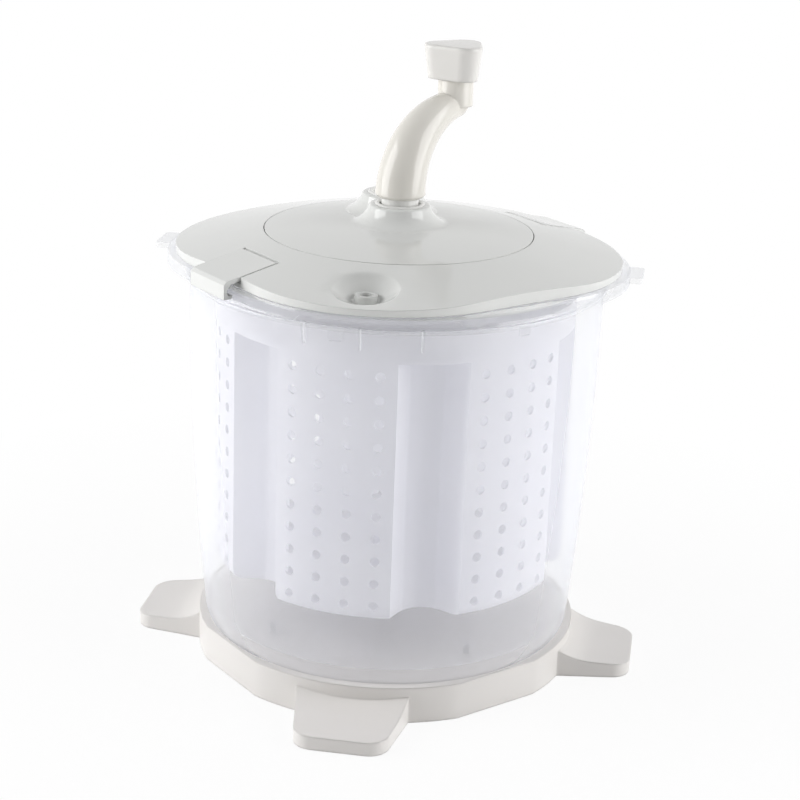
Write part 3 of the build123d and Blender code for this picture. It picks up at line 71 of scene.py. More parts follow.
def set_camera():
    roll = radians(CAMERA_ROLL)
    back = facing(CAMERA_AZIMUTH, CAMERA_DOWN)
    right = Vector((cos(radians(CAMERA_AZIMUTH)), sin(radians(CAMERA_AZIMUTH)), 0))
    up = back.cross(right)
    spot = right * CAMERA_AIM_SIDE + Vector((0, 0, CAMERA_AIM_Z)) + back * CAMERA_DISTANCE
    across = right * cos(roll) + up * sin(roll)
    upright = up * cos(roll) - right * sin(roll)
    data = bpy.data.cameras.new("camera")
    data.sensor_width = CAMERA_SENSOR
    data.lens = CAMERA_LENS
    camera = bpy.data.objects.new("camera", data)
    camera.matrix_world = Matrix.Translation(spot) @ Matrix((across, upright, back)).transposed().to_4x4()
    scene.collection.objects.link(camera)
    scene.camera = camera


set_camera()


# Materials. Mould grain and lathe marks are really finer than 0.2 mm, and are drawn as coarse as they
# need to show. Flow shades and clouds are as wide as the melt leaves them. A Mix node's colours are its
# inputs 6 and 7 and its output 2.
PLASTIC_IOR = 1.5
FLOW_MM = 111.0
GRAIN_FROM = (0.3, 0.7)
GRAIN_SWING = 0.15
BUMP_MM = 0.1
CLOUD_MM = 71.4
HAZE_POWER = 4.0
SHINE_POWER = 5.0
SHINE = (0.04, 0.42)
LATHE_RING_MM = 0.4
STEEL_ROUGHNESS = (0.2, 0.4)


def linear(hex_colour):
    """An sRGB hex colour as linear RGBA."""
    levels = [int(hex_colour[i:i + 2], 16) / 255 for i in (1, 3, 5)]
    return [v / 12.92 if v <= 0.04045 else ((v + 0.055) / 1.055) ** 2.4 for v in levels] + [1.0]


def add(tree, kind, sockets=None, **settings):
    """Adds a node to a tree, with its settings, its input values and its links."""
    node = tree.nodes.new(kind)
    for name, value in settings.items():
        setattr(node, name, value)
    for name, value in (sockets or {}).items():
        if isinstance(value, bpy.types.NodeSocket):
            tree.links.new(value, node.inputs[name])
        else:
            node.inputs[name].default_value = value
    return node


def new_material(name):
    material = bpy.data.materials.new(name)
    material.use_nodes = True
    material.node_tree.nodes.clear()
    return material, material.node_tree


def moulded(name, colour, shade, roughness, grain_mm, grain_depth, edge_mm):
    """Injection-moulded plastic: grain of the mould, faint flow shades, edges that catch the light."""
    material, tree = new_material(name)
    coords = add(tree, "ShaderNodeTexCoord").outputs["Object"]
    flow = add(tree, "ShaderNodeTexNoise", {"Vector": coords, "Scale": 1 / (FLOW_MM * MM), "Detail": 2.0})
    tint = add(tree, "ShaderNodeMix",
               {"Factor": flow.outputs["Fac"], 6: linear(colour), 7: linear(shade)}, data_type="RGBA")
    grain = add(tree, "ShaderNodeTexNoise", {"Vector": coords, "Scale": 1 / (grain_mm * MM), "Detail": 2.0})
    satin = add(tree, "ShaderNodeMapRange",
                {"Value": grain.outputs["Fac"], "From Min": GRAIN_FROM[0], "From Max": GRAIN_FROM[1],
                 "To Min": roughness * (1 - GRAIN_SWING), "To Max": roughness * (1 + GRAIN_SWING)})
    edge = add(tree, "ShaderNodeBevel", {"Radius": edge_mm * MM}, samples=4)
    bump = add(tree, "ShaderNodeBump",
               {"Height": grain.outputs["Fac"], "Strength": grain_depth, "Distance": BUMP_MM * MM,
                "Normal": edge.outputs["Normal"]})
    skin = add(tree, "ShaderNodeBsdfPrincipled",
               {"Base Color": tint.outputs[2], "Roughness": satin.outputs["Result"],
                "Normal": bump.outputs["Normal"], "IOR": PLASTIC_IOR})
    add(tree, "ShaderNodeOutputMaterial", {"Surface": skin.outputs["BSDF"]})
    return material


def milky(name, colour, shade, haze_face, haze_edge, through, roughness):
    """Natural polypropylene: light goes partly straight through and partly scatters in the wall.

    haze_face and haze_edge are the scattered share seen square on and at a glance. A wall keeps what
    lies behind it sharp while its haze is under about a quarter. through is the part of that share
    which comes out on the far side.
    """
    material, tree = new_material(name)
    coords = add(tree, "ShaderNodeTexCoord").outputs["Object"]
    cloud = add(tree, "ShaderNodeTexNoise", {"Vector": coords, "Scale": 1 / (CLOUD_MM * MM), "Detail": 3.0})
    tint = add(tree, "ShaderNodeMix",
               {"Factor": cloud.outputs["Fac"], 6: linear(colour), 7: linear(shade)}, data_type="RGBA")
    front = add(tree, "ShaderNodeBsdfDiffuse", {"Color": tint.outputs[2]})
    behind = add(tree, "ShaderNodeBsdfTranslucent", {"Color": tint.outputs[2]})
    milk = add(tree, "ShaderNodeMixShader", {0: through, 1: front.outputs["BSDF"], 2: behind.outputs["BSDF"]})
    clear = add(tree, "ShaderNodeBsdfTransparent", {"Color": linear("#ffffff")})
    slant = add(tree, "ShaderNodeLayerWeight", {"Blend": 0.5}).outputs["Facing"]
    steep = add(tree, "ShaderNodeMath", {0: slant, 1: HAZE_POWER}, operation="POWER")
    haze = add(tree, "ShaderNodeMapRange",
               {"Value": steep.outputs["Value"], "To Min": haze_face, "To Max": haze_edge})
    wall = add(tree, "ShaderNodeMixShader",
               {0: haze.outputs["Result"], 1: clear.outputs["BSDF"], 2: milk.outputs["Shader"]})
    shine = add(tree, "ShaderNodeBsdfGlossy", {"Color": linear("#ffffff"), "Roughness": roughness})
    glance = add(tree, "ShaderNodeMath", {0: slant, 1: SHINE_POWER}, operation="POWER")
    mirror = add(tree, "ShaderNodeMapRange",
                 {"Value": glance.outputs["Value"], "To Min": SHINE[0], "To Max": SHINE[1]})
    skin = add(tree, "ShaderNodeMixShader",
               {0: mirror.outputs["Result"], 1: wall.outputs["Shader"], 2: shine.outputs["BSDF"]})
    # The haze of a wall counts once, where light enters it
    side = add(tree, "ShaderNodeNewGeometry")
    whole = add(tree, "ShaderNodeMixShader",
                {0: side.outputs["Backfacing"], 1: skin.outputs["Shader"], 2: clear.outputs["BSDF"]})
    add(tree, "ShaderNodeOutputMaterial", {"Surface": whole.outputs["Shader"]})
    return material


def turned_steel():
    """Turned stainless steel: streaks left by the lathe tool break up its mirror."""
    material, tree = new_material("turned_steel")
    coords = add(tree, "ShaderNodeTexCoord").outputs["Object"]
    rings = add(tree, "ShaderNodeTexNoise", {"Vector": coords, "Scale": 1 / (LATHE_RING_MM * MM)})
    rough = add(tree, "ShaderNodeMapRange",
                {"Value": rings.outputs["Fac"], "To Min": STEEL_ROUGHNESS[0], "To Max": STEEL_ROUGHNESS[1]})
    skin = add(tree, "ShaderNodeBsdfPrincipled",
               {"Base Color": linear("#b9b9ba"), "Metallic": 1.0, "Roughness": rough.outputs["Result"]})
    add(tree, "ShaderNodeOutputMaterial", {"Surface": skin.outputs["BSDF"]})
    return material


# Lid and latches, ABS from a polished mould: pale grey with a soft mirror of the bright room
LID = moulded("polished_abs_lid", "#dddedc", "#d9dad8", roughness=0.09,
              grain_mm=0.6, grain_depth=0.02, edge_mm=0.9)
# Gear cover, ABS from a mirror-bright mould: the shiniest piece, with a clear image of the crank
COVER = moulded("polished_abs_cover", "#dcdddb", "#d9dad8", roughness=0.04,
                grain_mm=2.0, grain_depth=0.01, edge_mm=0.5)
# Base, ABS from a spark-eroded mould: warm grey, a broad sheen and soft edges
BASE = moulded("satin_abs_base", "#e1dedb", "#dddad7", roughness=0.35,
               grain_mm=0.6, grain_depth=0.08, edge_mm=2.4)
# Crank arm, ivory ABS from a polished mould: long highlights that follow the bend
CRANK = moulded("polished_abs_crank", "#e2dfd8", "#dedbd4", roughness=0.12,
                grain_mm=2.0, grain_depth=0.01, edge_mm=1.6)
# Knob, ABS: the same gloss a little duller, with edges that look rounded
KNOB = moulded("polished_abs_knob", "#e4e2df", "#e0deda", roughness=0.2,
               grain_mm=2.0, grain_depth=0.01, edge_mm=2.6)
# Bushes and the crank's neck, natural acetal: a lighter, cleaner white than the pieces round it
BUSH = moulded("acetal_bush", "#e8e8e6", "#e4e4e2", roughness=0.2,
               grain_mm=1.0, grain_depth=0.02, edge_mm=0.3)
# Gears and their case, natural nylon: creamy and rather dull
NYLON = moulded("nylon_gear", "#e2e0d6", "#dcdace", roughness=0.35,
                grain_mm=0.8, grain_depth=0.1, edge_mm=0.3)
# Foot pads, dark rubber: almost no shine
RUBBER = moulded("rubber_pad", "#3a3a3c", "#333335", roughness=0.7,
                 grain_mm=0.6, grain_depth=0.3, edge_mm=0.3)
# Gasket, pale silicone: dull, so that it draws no line through the clear rim
SILICONE = moulded("silicone_gasket", "#dcdcda", "#d6d6d4", roughness=0.5,
                   grain_mm=0.6, grain_depth=0.1, edge_mm=0.3)
# Tub, frosted polypropylene: see-through in its middle, white and shiny towards its outline
TUB = milky("frosted_polypropylene_tub", "#f4f6fc", "#fbfcfe", haze_face=0.21, haze_edge=0.96,
            through=0.6, roughness=0.12)
# Basket, milky polypropylene: a cool white that glows a little where light falls from behind
BASKET = milky("milky_polypropylene_basket", "#f5f5fc", "#fbfbfe", haze_face=0.88, haze_edge=0.98,
               through=0.36, roughness=0.25)
# Drive plate, milky polypropylene: white and soft, with the shade of the gears behind it
PLATE = milky("milky_polypropylene_plate", "#f8f8fd", "#fbfbfd", haze_face=0.7, haze_edge=0.95,
              through=0.5, roughness=0.3)
# Screws and pins, turned stainless steel: small bright points with a broken mirror
STEEL = turned_steel()

FINISH = {
    "base": BASE, "foot_pads": RUBBER, "base_screws": STEEL, "tub": TUB, "pivot_pin": STEEL,
    "basket": BASKET, "basket_screens": BASKET, "basket_bush": BUSH, "lid": LID, "lid_gasket": SILICONE,
    "latch_front": LID, "latch_rear": LID, "latch_pins": STEEL, "gear_case": NYLON, "gear_cover": COVER,
    "cover_screws": STEEL, "crank_bush": BUSH, "rear_bush": BUSH, "output_bush": BUSH,
    "centre_gear": NYLON, "rear_gear": NYLON, "drive_plate": PLATE, "drive_screw": STEEL,
    "crank_arm": CRANK, "crank_neck": BUSH, "knob_axle": STEEL, "knob": KNOB,
}
BODY = {node: body for body, nodes in frame["record"]["behaviour"]["bodies"].items() for node in nodes}


# Meshes, in millimetres until they are finished
WELD = 1e-4
SLIVER = 1e-5
CAD_WELD = 1e-3
SHARP_DEGREES = 34
CAD_SHARP_DEGREES = 30
EASE_SHARE = 0.48
EASE_LEAST_TAN = 0.01
NEAR_ZERO = 1e-6


def place(reach, azimuth, z, aside=0.0):
    """Point at a distance from the axis, at an azimuth in degrees, shifted aside from there."""
    a = radians(azimuth)
    return (reach * sin(a) + aside * cos(a), -reach * cos(a) + aside * sin(a), z)


def bend(start, pull, end, steps):
    """Points of a smooth bend between two points, drawn towards a third."""
    shares = [k / steps for k in range(steps + 1)]
    return [tuple(start * (1 - t) ** 2 + pull * (2 * t * (1 - t)) + end * t ** 2) for t in shares]


def eased(corners, steps=3):
    """A profile with its corners rounded. Each corner is (out, up, radius)."""
    line = []
    for i, (x, y, radius) in enumerate(corners):
        if radius == 0:
            line.append((x, y))
            continue
        here = Vector((x, y))
        before = Vector(corners[i - 1][:2]) - here
        after = Vector(corners[i + 1][:2]) - here
        half_turn = max(tan(before.angle(after, pi) / 2), EASE_LEAST_TAN)
        reach = min(radius / half_turn, before.length * EASE_SHARE, after.length * EASE_SHARE)
        line += bend(here + before.normalized() * reach, here, here + after.normalized() * reach, steps)
    return line


def lathe(bm, azimuths, profile, centre=(0, 0)):
    """Skins a profile round the Z axis. profile(azimuth) gives (out, up) points, always as many."""
    rings = []
    for azimuth in azimuths:
        ring = []
        for out, up in profile(azimuth):
            x, y, z = place(out, azimuth, up)
            ring.append(bm.verts.new((x + centre[0], y + centre[1], z)))
        rings.append(ring)
    for a, b in zip(rings, rings[1:] + rings[:1]):
        for j in range(len(a) - 1):
            bm.faces.new((a[j], b[j], b[j + 1], a[j + 1]))


def turn(bm, profile, step, centre=(0, 0)):
    """Turns one profile round the Z axis, a step in degrees at a time."""
    lathe(bm, range(0, 360, step), lambda azimuth: profile, centre)


def prism(bm, outline, thickness_way):
    """Closed plate from a flat outline of points, with its thickness along a vector."""
    way = Vector(thickness_way)
    low = [bm.verts.new(Vector(p) - way / 2) for p in outline]
    high = [bm.verts.new(Vector(p) + way / 2) for p in outline]
    bm.faces.new(low[::-1])
    bm.faces.new(high)
    for i in range(len(low)):
        j = (i + 1) % len(low)
        bm.faces.new((low[i], low[j], high[j], high[i]))


def smoothed(mesh, sharp_degrees):
    """The mesh, shaded smooth but for edges sharper than an angle."""
    mesh.polygons.foreach_set("use_smooth", [True] * len(mesh.polygons))
    mesh.set_sharp_from_angle(angle=radians(sharp_degrees))
    return mesh


def finished(name, bm):
    """Turns a bmesh in millimetres into a mesh in metres with closed seams and outward normals."""
    bmesh.ops.remove_doubles(bm, verts=bm.verts, dist=WELD)
    bmesh.ops.dissolve_degenerate(bm, edges=bm.edges, dist=SLIVER)
    bmesh.ops.recalc_face_normals(bm, faces=bm.faces)
    bmesh.ops.scale(bm, verts=bm.verts, vec=(MM, MM, MM))
    mesh = bpy.data.meshes.new(name)
    bm.to_mesh(mesh)
    bm.free()
    return smoothed(mesh, SHARP_DEGREES)


def welded(node):
    """A copy of a node's mesh with its corners joined, so that its curves shade smooth."""
    bm = bmesh.new()
    bm.from_mesh(frame["nodes"][node].data)
    bmesh.ops.remove_doubles(bm, verts=bm.verts, dist=CAD_WELD * MM)
    mesh = bpy.data.meshes.new(node + "_skin")
    bm.to_mesh(mesh)
    bm.free()
    mesh.attributes.remove(mesh.attributes["custom_normal"])
    return smoothed(mesh, CAD_SHARP_DEGREES)


def piece(name, mesh, node, *more_nodes):
    """A finished mesh that stands for one or more CAD nodes and rides on their body."""
    obj = bpy.data.objects.new(name, mesh)
    scene.collection.objects.link(obj)
    mesh.materials.clear()
    mesh.materials.append(FINISH[node])
    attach(obj, BODY[node])
    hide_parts(node, *more_nodes)


# Tub: a frosted barrel whose rim is the lid's rounded square with a lobe and a tab at each side
BASE_TOP = 30.0
TUB_BOTTOM_R = 146.4
TUB_FOOT_R = 148.1
TUB_FOOT_Z = BASE_TOP + 4.0
TUB_MID_R = 156.0
TUB_MID_Z = 138.0
TUB_TOP_R = 160.9
TUB_WALL = 2.4
TUB_FLOOR = (38.0, 41.0)
TUB_SKIRT_DRAFT = 1.0
TUB_STEPS = 16
FLOOR_EASE = 6.0
FLOOR_TOE_UP = (1.0, 4.0)
RIM_TOP = 326.5
RIM_PLATE = (322.0, 324.5)
RIM_BORDER_IN = 2.3
RIM_OVER = 1.5
RIM_SKIRT = 2.2
RIM_SKIRT_MIN = 0.3
RIM_BAND = 9.5
RIM_BAND_FRONT = 4.5
RIM_BORE_R = 151.6
RIM_STEP = 0.75
EDGE_TOP = 0.9
EDGE_BROAD = 0.8
EDGE_SOFT = 0.6
EDGE_FINE = 0.5
EDGE_CRISP = 0.4
WINDOW = (-16.0, 26.0)
WINDOW_RAMP = 1.8
LIP_R = 164.0
LIP = (310.6, 314.0)
GUSSETS = (-15, 0, 16)
GUSSET_H = 13.0
GUSSET_W = 1.8
GUSSET_IN = 0.3
GUSSET_TOE = 0.2
LID_FLAT = 157.5
LID_CORNER_REACH = 174.0
LID_CORNER_R = (LID_FLAT * sqrt(2) - LID_CORNER_REACH) / (sqrt(2) - 1)
LOBE_R = 120.0
LOBE_REACH = 180.4
LOBE_DROP = 19.0
LOBE_PULL_OUT = 2.0
LOBE_PULL_UP = LOBE_DROP / 3
LOBE_STEPS = 8
TAB_REACH = 190.5
TAB_HALF = 17.0
TAB_CORNER = 4.2
TAB_THINNER = 0.2
SIDES = (90, 270)
CATCHES = (-45, 135)
CATCH_Z = (322.3, 324.7)
CATCH_IN = 1.0
CATCH_OUT = 2.4
CATCH_LONG = 40.0
SCREWS = (45, 135, 225, 315)
SCREW_AT = 110.0
SCREW_BOSS_R = 5.5
SCREW_BOSS_Z = (29.9, 38.2)
PIVOT_BOSS_R = 13.0
PIVOT_BOSS_Z = (40.5, 62.0)
PIVOT_BORE_R = 5.05
PIVOT_BORE_Z = 45.0
PIVOT_FOOT_R = 17.0
PIVOT_EASES = (0.2, 0.6, 1.0, 3.0)


def box_reach(angle, half_out, half_side, corner):
    """Distance to the edge of a rounded rectangle at an angle, in degrees, from its long axis."""
    x, y = abs(cos(radians(angle))), abs(sin(radians(angle)))
    reach = min(half_out / max(x, NEAR_ZERO), half_side / max(y, NEAR_ZERO))
    if reach * x > half_out - corner and reach * y > half_side - corner:
        a, b = half_out - corner, half_side - corner
        along = a * x + b * y
        reach = along + sqrt(max(along ** 2 - a ** 2 - b ** 2 + corner ** 2, 0))
    return reach


def square_reach(azimuth, grow=0.0):
    """The lid's rounded square, grown outwards. Its corners point along X and Y."""
    return box_reach(azimuth - 45, LID_FLAT + grow, LID_FLAT + grow, LID_CORNER_R + grow)


def rim_reach(azimuth):
    """The tub rim's outline: rounded square, barrel or lobes, whichever reaches furthest."""
    side = azimuth - SIDES[0]
    along = abs(cos(radians(side)))
    lobe = LOBE_REACH - LOBE_R
    return max(square_reach(azimuth, RIM_OVER), TUB_TOP_R + RIM_SKIRT_MIN,
               lobe * along + sqrt(LOBE_R ** 2 - (lobe * sin(radians(side))) ** 2))


def window_share(azimuth):
    """How far the shallow part of the rim's skirt is in force: 1 at the front and back, 0 elsewhere."""
    a = (azimuth + 90) % 180 - 90
    rise = min((a - WINDOW[0]) / WINDOW_RAMP, (WINDOW[1] - a) / WINDOW_RAMP)
    return max(0.0, min(1.0, rise))


def barrel(z, inset=0.0):
    """Radius of the tub's wall at a height: a parabola through its foot, middle and top."""
    points = [(TUB_FOOT_Z, TUB_FOOT_R), (TUB_MID_Z, TUB_MID_R), (LIP[0], TUB_TOP_R)]
    total = 0.0
    for i, (zi, ri) in enumerate(points):
        share = 1.0
        for j, (zj, rj) in enumerate(points):
            if i != j:
                share *= (z - zj) / (zi - zj)
        total += ri * share
    return total - inset


def tub_profile(azimuth):
    """The tub's section at an azimuth: up its outside, over the rim, down its inside, to the axis."""
    rim = rim_reach(azimuth)
    skirt = max(TUB_TOP_R, rim - RIM_SKIRT)
    band = RIM_BAND + (RIM_BAND_FRONT - RIM_BAND) * window_share(azimuth)
    border = square_reach(azimuth, -RIM_BORDER_IN)
    inside_foot = TUB_BOTTOM_R - TUB_WALL
    foot = [(0, TUB_FLOOR[0]), (inside_foot - TUB_SKIRT_DRAFT, TUB_FLOOR[0]),
            (inside_foot, BASE_TOP), (TUB_BOTTOM_R, BASE_TOP)]
    rises = [TUB_FOOT_Z + (LIP[0] - TUB_FOOT_Z) * k / TUB_STEPS for k in range(TUB_STEPS + 1)]
    outside = [(barrel(z), z) for z in rises]
    lip = [(TUB_TOP_R, LIP[0], 0), (LIP_R, LIP[0], EDGE_BROAD), (LIP_R, LIP[1], EDGE_BROAD),
           (TUB_TOP_R, LIP[1], EDGE_SOFT), (TUB_TOP_R, RIM_PLATE[0], EDGE_BROAD),
           (skirt, RIM_PLATE[0], EDGE_SOFT), (skirt, RIM_TOP - band, EDGE_CRISP),
           (rim, RIM_TOP - band, EDGE_CRISP), (rim, RIM_TOP, EDGE_TOP), (border, RIM_TOP, EDGE_FINE),
           (border, RIM_PLATE[1], EDGE_CRISP), (RIM_BORE_R, RIM_PLATE[1], EDGE_FINE),
           (RIM_BORE_R, RIM_PLATE[0], EDGE_CRISP), (TUB_TOP_R - TUB_WALL, RIM_PLATE[0], 0)]
    inside = [(barrel(z, TUB_WALL), z) for z in reversed(rises)]
    top = TUB_FLOOR[1]
    # The first point only gives the eased corner its way up the wall
    floor = [(barrel(top + FLOOR_TOE_UP[0], TUB_WALL), top + FLOOR_TOE_UP[1], 0),
             (barrel(top, TUB_WALL), top, FLOOR_EASE), (0, top, 0)]
    return foot + outside + eased(lip, steps=2)[1:] + inside[:-1] + eased(floor, steps=4)[1:]


def rim_azimuths():
    """Even steps round the rim, and one at each end of the skirt's steps."""
    steps = {round(i * RIM_STEP, 3) for i in range(round(360 / RIM_STEP))}
    for half in (0, 180):
        for edge in (WINDOW[0], WINDOW[0] + WINDOW_RAMP, WINDOW[1] - WINDOW_RAMP, WINDOW[1]):
            steps.add(round((edge + half) % 360, 3))
    return sorted(steps)


def add_gussets(bm):
    """Thin ribs under the lip, in threes at the front and the back."""
    wall = TUB_TOP_R - TUB_WALL / 2
    low = LIP[0] - GUSSET_H
    for half in (0, 180):
        for gusset in GUSSETS:
            azimuth = gusset + half
            outline = [place(wall, azimuth, LIP[1]), place(LIP_R - GUSSET_IN, azimuth, LIP[1] - GUSSET_IN),
                       place(LIP_R - GUSSET_IN, azimuth, LIP[0]),
                       place(barrel(low) + GUSSET_TOE, azimuth, low), place(wall, azimuth, low)]
            prism(bm, outline, place(0, azimuth, 0, GUSSET_W))


def add_grips(bm):
    """A web that swells out under each lobe of the rim, and the tab at its end."""
    wall = TUB_TOP_R - TUB_WALL / 2
    low = RIM_PLATE[0] - LOBE_DROP
    end = LOBE_REACH - RIM_SKIRT
    swell = bend(Vector((TUB_TOP_R, low)), Vector((LIP_R + LOBE_PULL_OUT, low + LOBE_PULL_UP)),
                 Vector((end, RIM_TOP - RIM_BAND)), LOBE_STEPS)
    web = [(wall, low)] + swell + [(end, RIM_PLATE[0]), (wall, RIM_PLATE[0])]
    tab = eased([(end, -TAB_HALF, 0), (TAB_REACH, -TAB_HALF, TAB_CORNER),
                 (TAB_REACH, TAB_HALF, TAB_CORNER), (end, TAB_HALF, 0)], steps=6)
    middle = (RIM_PLATE[0] + RIM_TOP) / 2
    for side in SIDES:
        prism(bm, [place(out, side, z) for out, z in web], place(0, side, 0, 2 * TAB_HALF))
        prism(bm, [place(out, side, middle, aside) for out, aside in tab],
              (0, 0, RIM_TOP - RIM_PLATE[0] - TAB_THINNER))


def add_catches(bm):
    """The bars that the latches hook under."""
    low, high = CATCH_Z
    inner, outer = TUB_TOP_R - CATCH_IN, TUB_TOP_R + CATCH_OUT
    for azimuth in CATCHES:
        outline = [place(inner, azimuth, low), place(outer, azimuth, low),
                   place(outer, azimuth, high), place(inner, azimuth, high)]
        prism(bm, outline, place(0, azimuth, 0, CATCH_LONG))


def add_floor_bosses(bm):
    """Bosses for the base's screws, and the boss that holds the pivot pin."""
    low, high = SCREW_BOSS_Z
    for azimuth in SCREWS:
        screw_boss = [(0, low), (SCREW_BOSS_R, low), (SCREW_BOSS_R, high), (0, high)]
        turn(bm, screw_boss, step=15, centre=place(SCREW_AT, azimuth, 0)[:2])
    low, high = PIVOT_BOSS_Z
    mouth, bore_edge, top_edge, foot_edge = PIVOT_EASES
    boss = eased([(0, PIVOT_BORE_Z, 0), (PIVOT_BORE_R, PIVOT_BORE_Z, mouth), (PIVOT_BORE_R, high, bore_edge),
                  (PIVOT_BOSS_R, high, top_edge), (PIVOT_BOSS_R, TUB_FLOOR[1], foot_edge),
                  (PIVOT_FOOT_R, TUB_FLOOR[1], 0)])
    turn(bm, boss + [(PIVOT_FOOT_R, low), (0, low)], step=10)


def make_tub():
    bm = bmesh.new()
    lathe(bm, rim_azimuths(), tub_profile)
    add_gussets(bm)
    add_grips(bm)
    add_catches(bm)
    add_floor_bosses(bm)
    piece("frosted_tub", finished("frosted_tub", bm), "tub")


# Basket: six shallow panels of holes, with a groove between each pair, under a plain collar
BASKET_FOOT = 78.0
BASKET_LEDGE = 282.0
BASKET_TOP = 304.0
BASKET_WALL = 2.0
BASKET_CORNER = 10.0
CORNER_STEPS = 6
LEAST_STRIP = 0.3
COLLAR_R = 141.0
PANELS = 6
PANEL_AZIMUTH = -8.8
PANEL_REACH = 140.5
PANEL_CURVE_R = 227.0
PANEL_HALF = 46.0
PANEL_EASE = 5.0
SHEET_HALF = 41.5
FLUTE_REACH = 112.0
FLUTE_RISE = 5.0
FLUTE_HALF = 13.0
FLUTE_EASE = 7.0
FLUTE_BOTTOM_EASE = 21.0
HOLE_R = 3.7
HOLE_SIDES = 24
HOLE_COLUMNS = 4
HOLE_ROWS = 11
HOLE_PITCH_X = 22.8
HOLE_PITCH_Z = 18.1
HOLE_TOP = 272.0
HOLE_MIDDLE = HOLE_TOP - (HOLE_ROWS - 1) * HOLE_PITCH_Z / 2
CELL_WELD = 0.01
NOTCH_W = 12.0
NOTCH_TOP = 296.0
HUB_R = 11.25
HUB_BORE_R = 8.1
HUB_LOW = 62.3
HUB_HIGH = 93.5
HUB_CAP = 3.2


def hole_cell(tree, given):
    """One cell of the sheet: a round hole whose edge is drawn out to the cell's four sides."""
    circle = add(tree, "GeometryNodeMeshCircle",
                 {"Vertices": given["Hole sides"], "Radius": given["Hole radius"]})
    drawn = add(tree, "GeometryNodeExtrudeMesh",
                {"Mesh": circle.outputs["Mesh"], "Offset Scale": 0.0}, mode="EDGES")
    position = add(tree, "GeometryNodeInputPosition").outputs[0]
    spot = add(tree, "ShaderNodeSeparateXYZ", {0: position}).outputs
    off_x = add(tree, "ShaderNodeMath", {0: spot["X"]}, operation="ABSOLUTE").outputs[0]
    off_y = add(tree, "ShaderNodeMath", {0: spot["Y"]}, operation="ABSOLUTE").outputs[0]
    far = add(tree, "ShaderNodeMath", {0: off_x, 1: off_y}, operation="MAXIMUM").outputs[0]
    side = {}
    for axis, pitch in (("X", "Pitch across"), ("Y", "Pitch up")):
        share = add(tree, "ShaderNodeMath", {0: spot[axis], 1: far}, operation="DIVIDE").outputs[0]
        half = add(tree, "ShaderNodeMath", {0: given[pitch], 1: 0.5}, operation="MULTIPLY").outputs[0]
        side[axis] = add(tree, "ShaderNodeMath", {0: share, 1: half}, operation="MULTIPLY").outputs[0]
    corner = add(tree, "ShaderNodeCombineXYZ", side)
    cell = add(tree, "GeometryNodeSetPosition",
               {"Geometry": drawn.outputs["Mesh"], "Selection": drawn.outputs["Top"],
                "Position": corner.outputs[0]})
    return cell.outputs["Geometry"]


def flat_sheet(tree, given, cell):
    """The grid of cells, joined along their sides."""
    size = {}
    for axis, pitch, count in (("X", "Pitch across", "Columns"), ("Y", "Pitch up", "Rows")):
        gaps = add(tree, "ShaderNodeMath", {0: given[count], 1: 1.0}, operation="SUBTRACT").outputs[0]
        size[axis] = add(tree, "ShaderNodeMath", {0: given[pitch], 1: gaps}, operation="MULTIPLY").outputs[0]
    grid = add(tree, "GeometryNodeMeshGrid",
               {"Size X": size["X"], "Size Y": size["Y"],
                "Vertices X": given["Columns"], "Vertices Y": given["Rows"]})
    cells = add(tree, "GeometryNodeInstanceOnPoints", {"Points": grid.outputs["Mesh"], "Instance": cell})
    loose = add(tree, "GeometryNodeRealizeInstances", {0: cells.outputs[0]})
    joined = add(tree, "GeometryNodeMergeByDistance", {"Geometry": loose.outputs[0], "Distance": CELL_WELD})
    return joined.outputs["Geometry"]


def curved_panel(tree, given, sheet):
    """The sheet, trimmed to its width and wrapped round the panel's curve."""
    radius = given["Curve radius"]
    position = add(tree, "GeometryNodeInputPosition").outputs[0]
    here = add(tree, "ShaderNodeSeparateXYZ", {0: position}).outputs
    left = add(tree, "ShaderNodeMath", {0: given["Sheet half"], 1: -1.0}, operation="MULTIPLY").outputs[0]
    held = add(tree, "ShaderNodeClamp", {"Value": here["X"], "Min": left, "Max": given["Sheet half"]})
    angle = add(tree, "ShaderNodeMath", {0: held.outputs[0], 1: radius}, operation="DIVIDE").outputs[0]
    sine = add(tree, "ShaderNodeMath", {0: angle}, operation="SINE").outputs[0]
    cosine = add(tree, "ShaderNodeMath", {0: angle}, operation="COSINE").outputs[0]
    aside = add(tree, "ShaderNodeMath", {0: radius, 1: sine}, operation="MULTIPLY").outputs[0]
    fall = add(tree, "ShaderNodeMath", {0: 1.0, 1: cosine}, operation="SUBTRACT").outputs[0]
    sag = add(tree, "ShaderNodeMath", {0: radius, 1: fall}, operation="MULTIPLY").outputs[0]
    depth = add(tree, "ShaderNodeMath", {0: sag, 1: given["Reach"]}, operation="SUBTRACT").outputs[0]
    level = add(tree, "ShaderNodeMath", {0: here["Y"], 1: given["Middle"]}, operation="ADD").outputs[0]
    wrapped = add(tree, "ShaderNodeCombineXYZ", {"X": aside, "Y": depth, "Z": level})
    panel = add(tree, "GeometryNodeSetPosition", {"Geometry": sheet, "Position": wrapped.outputs[0]})
    return panel.outputs["Geometry"]


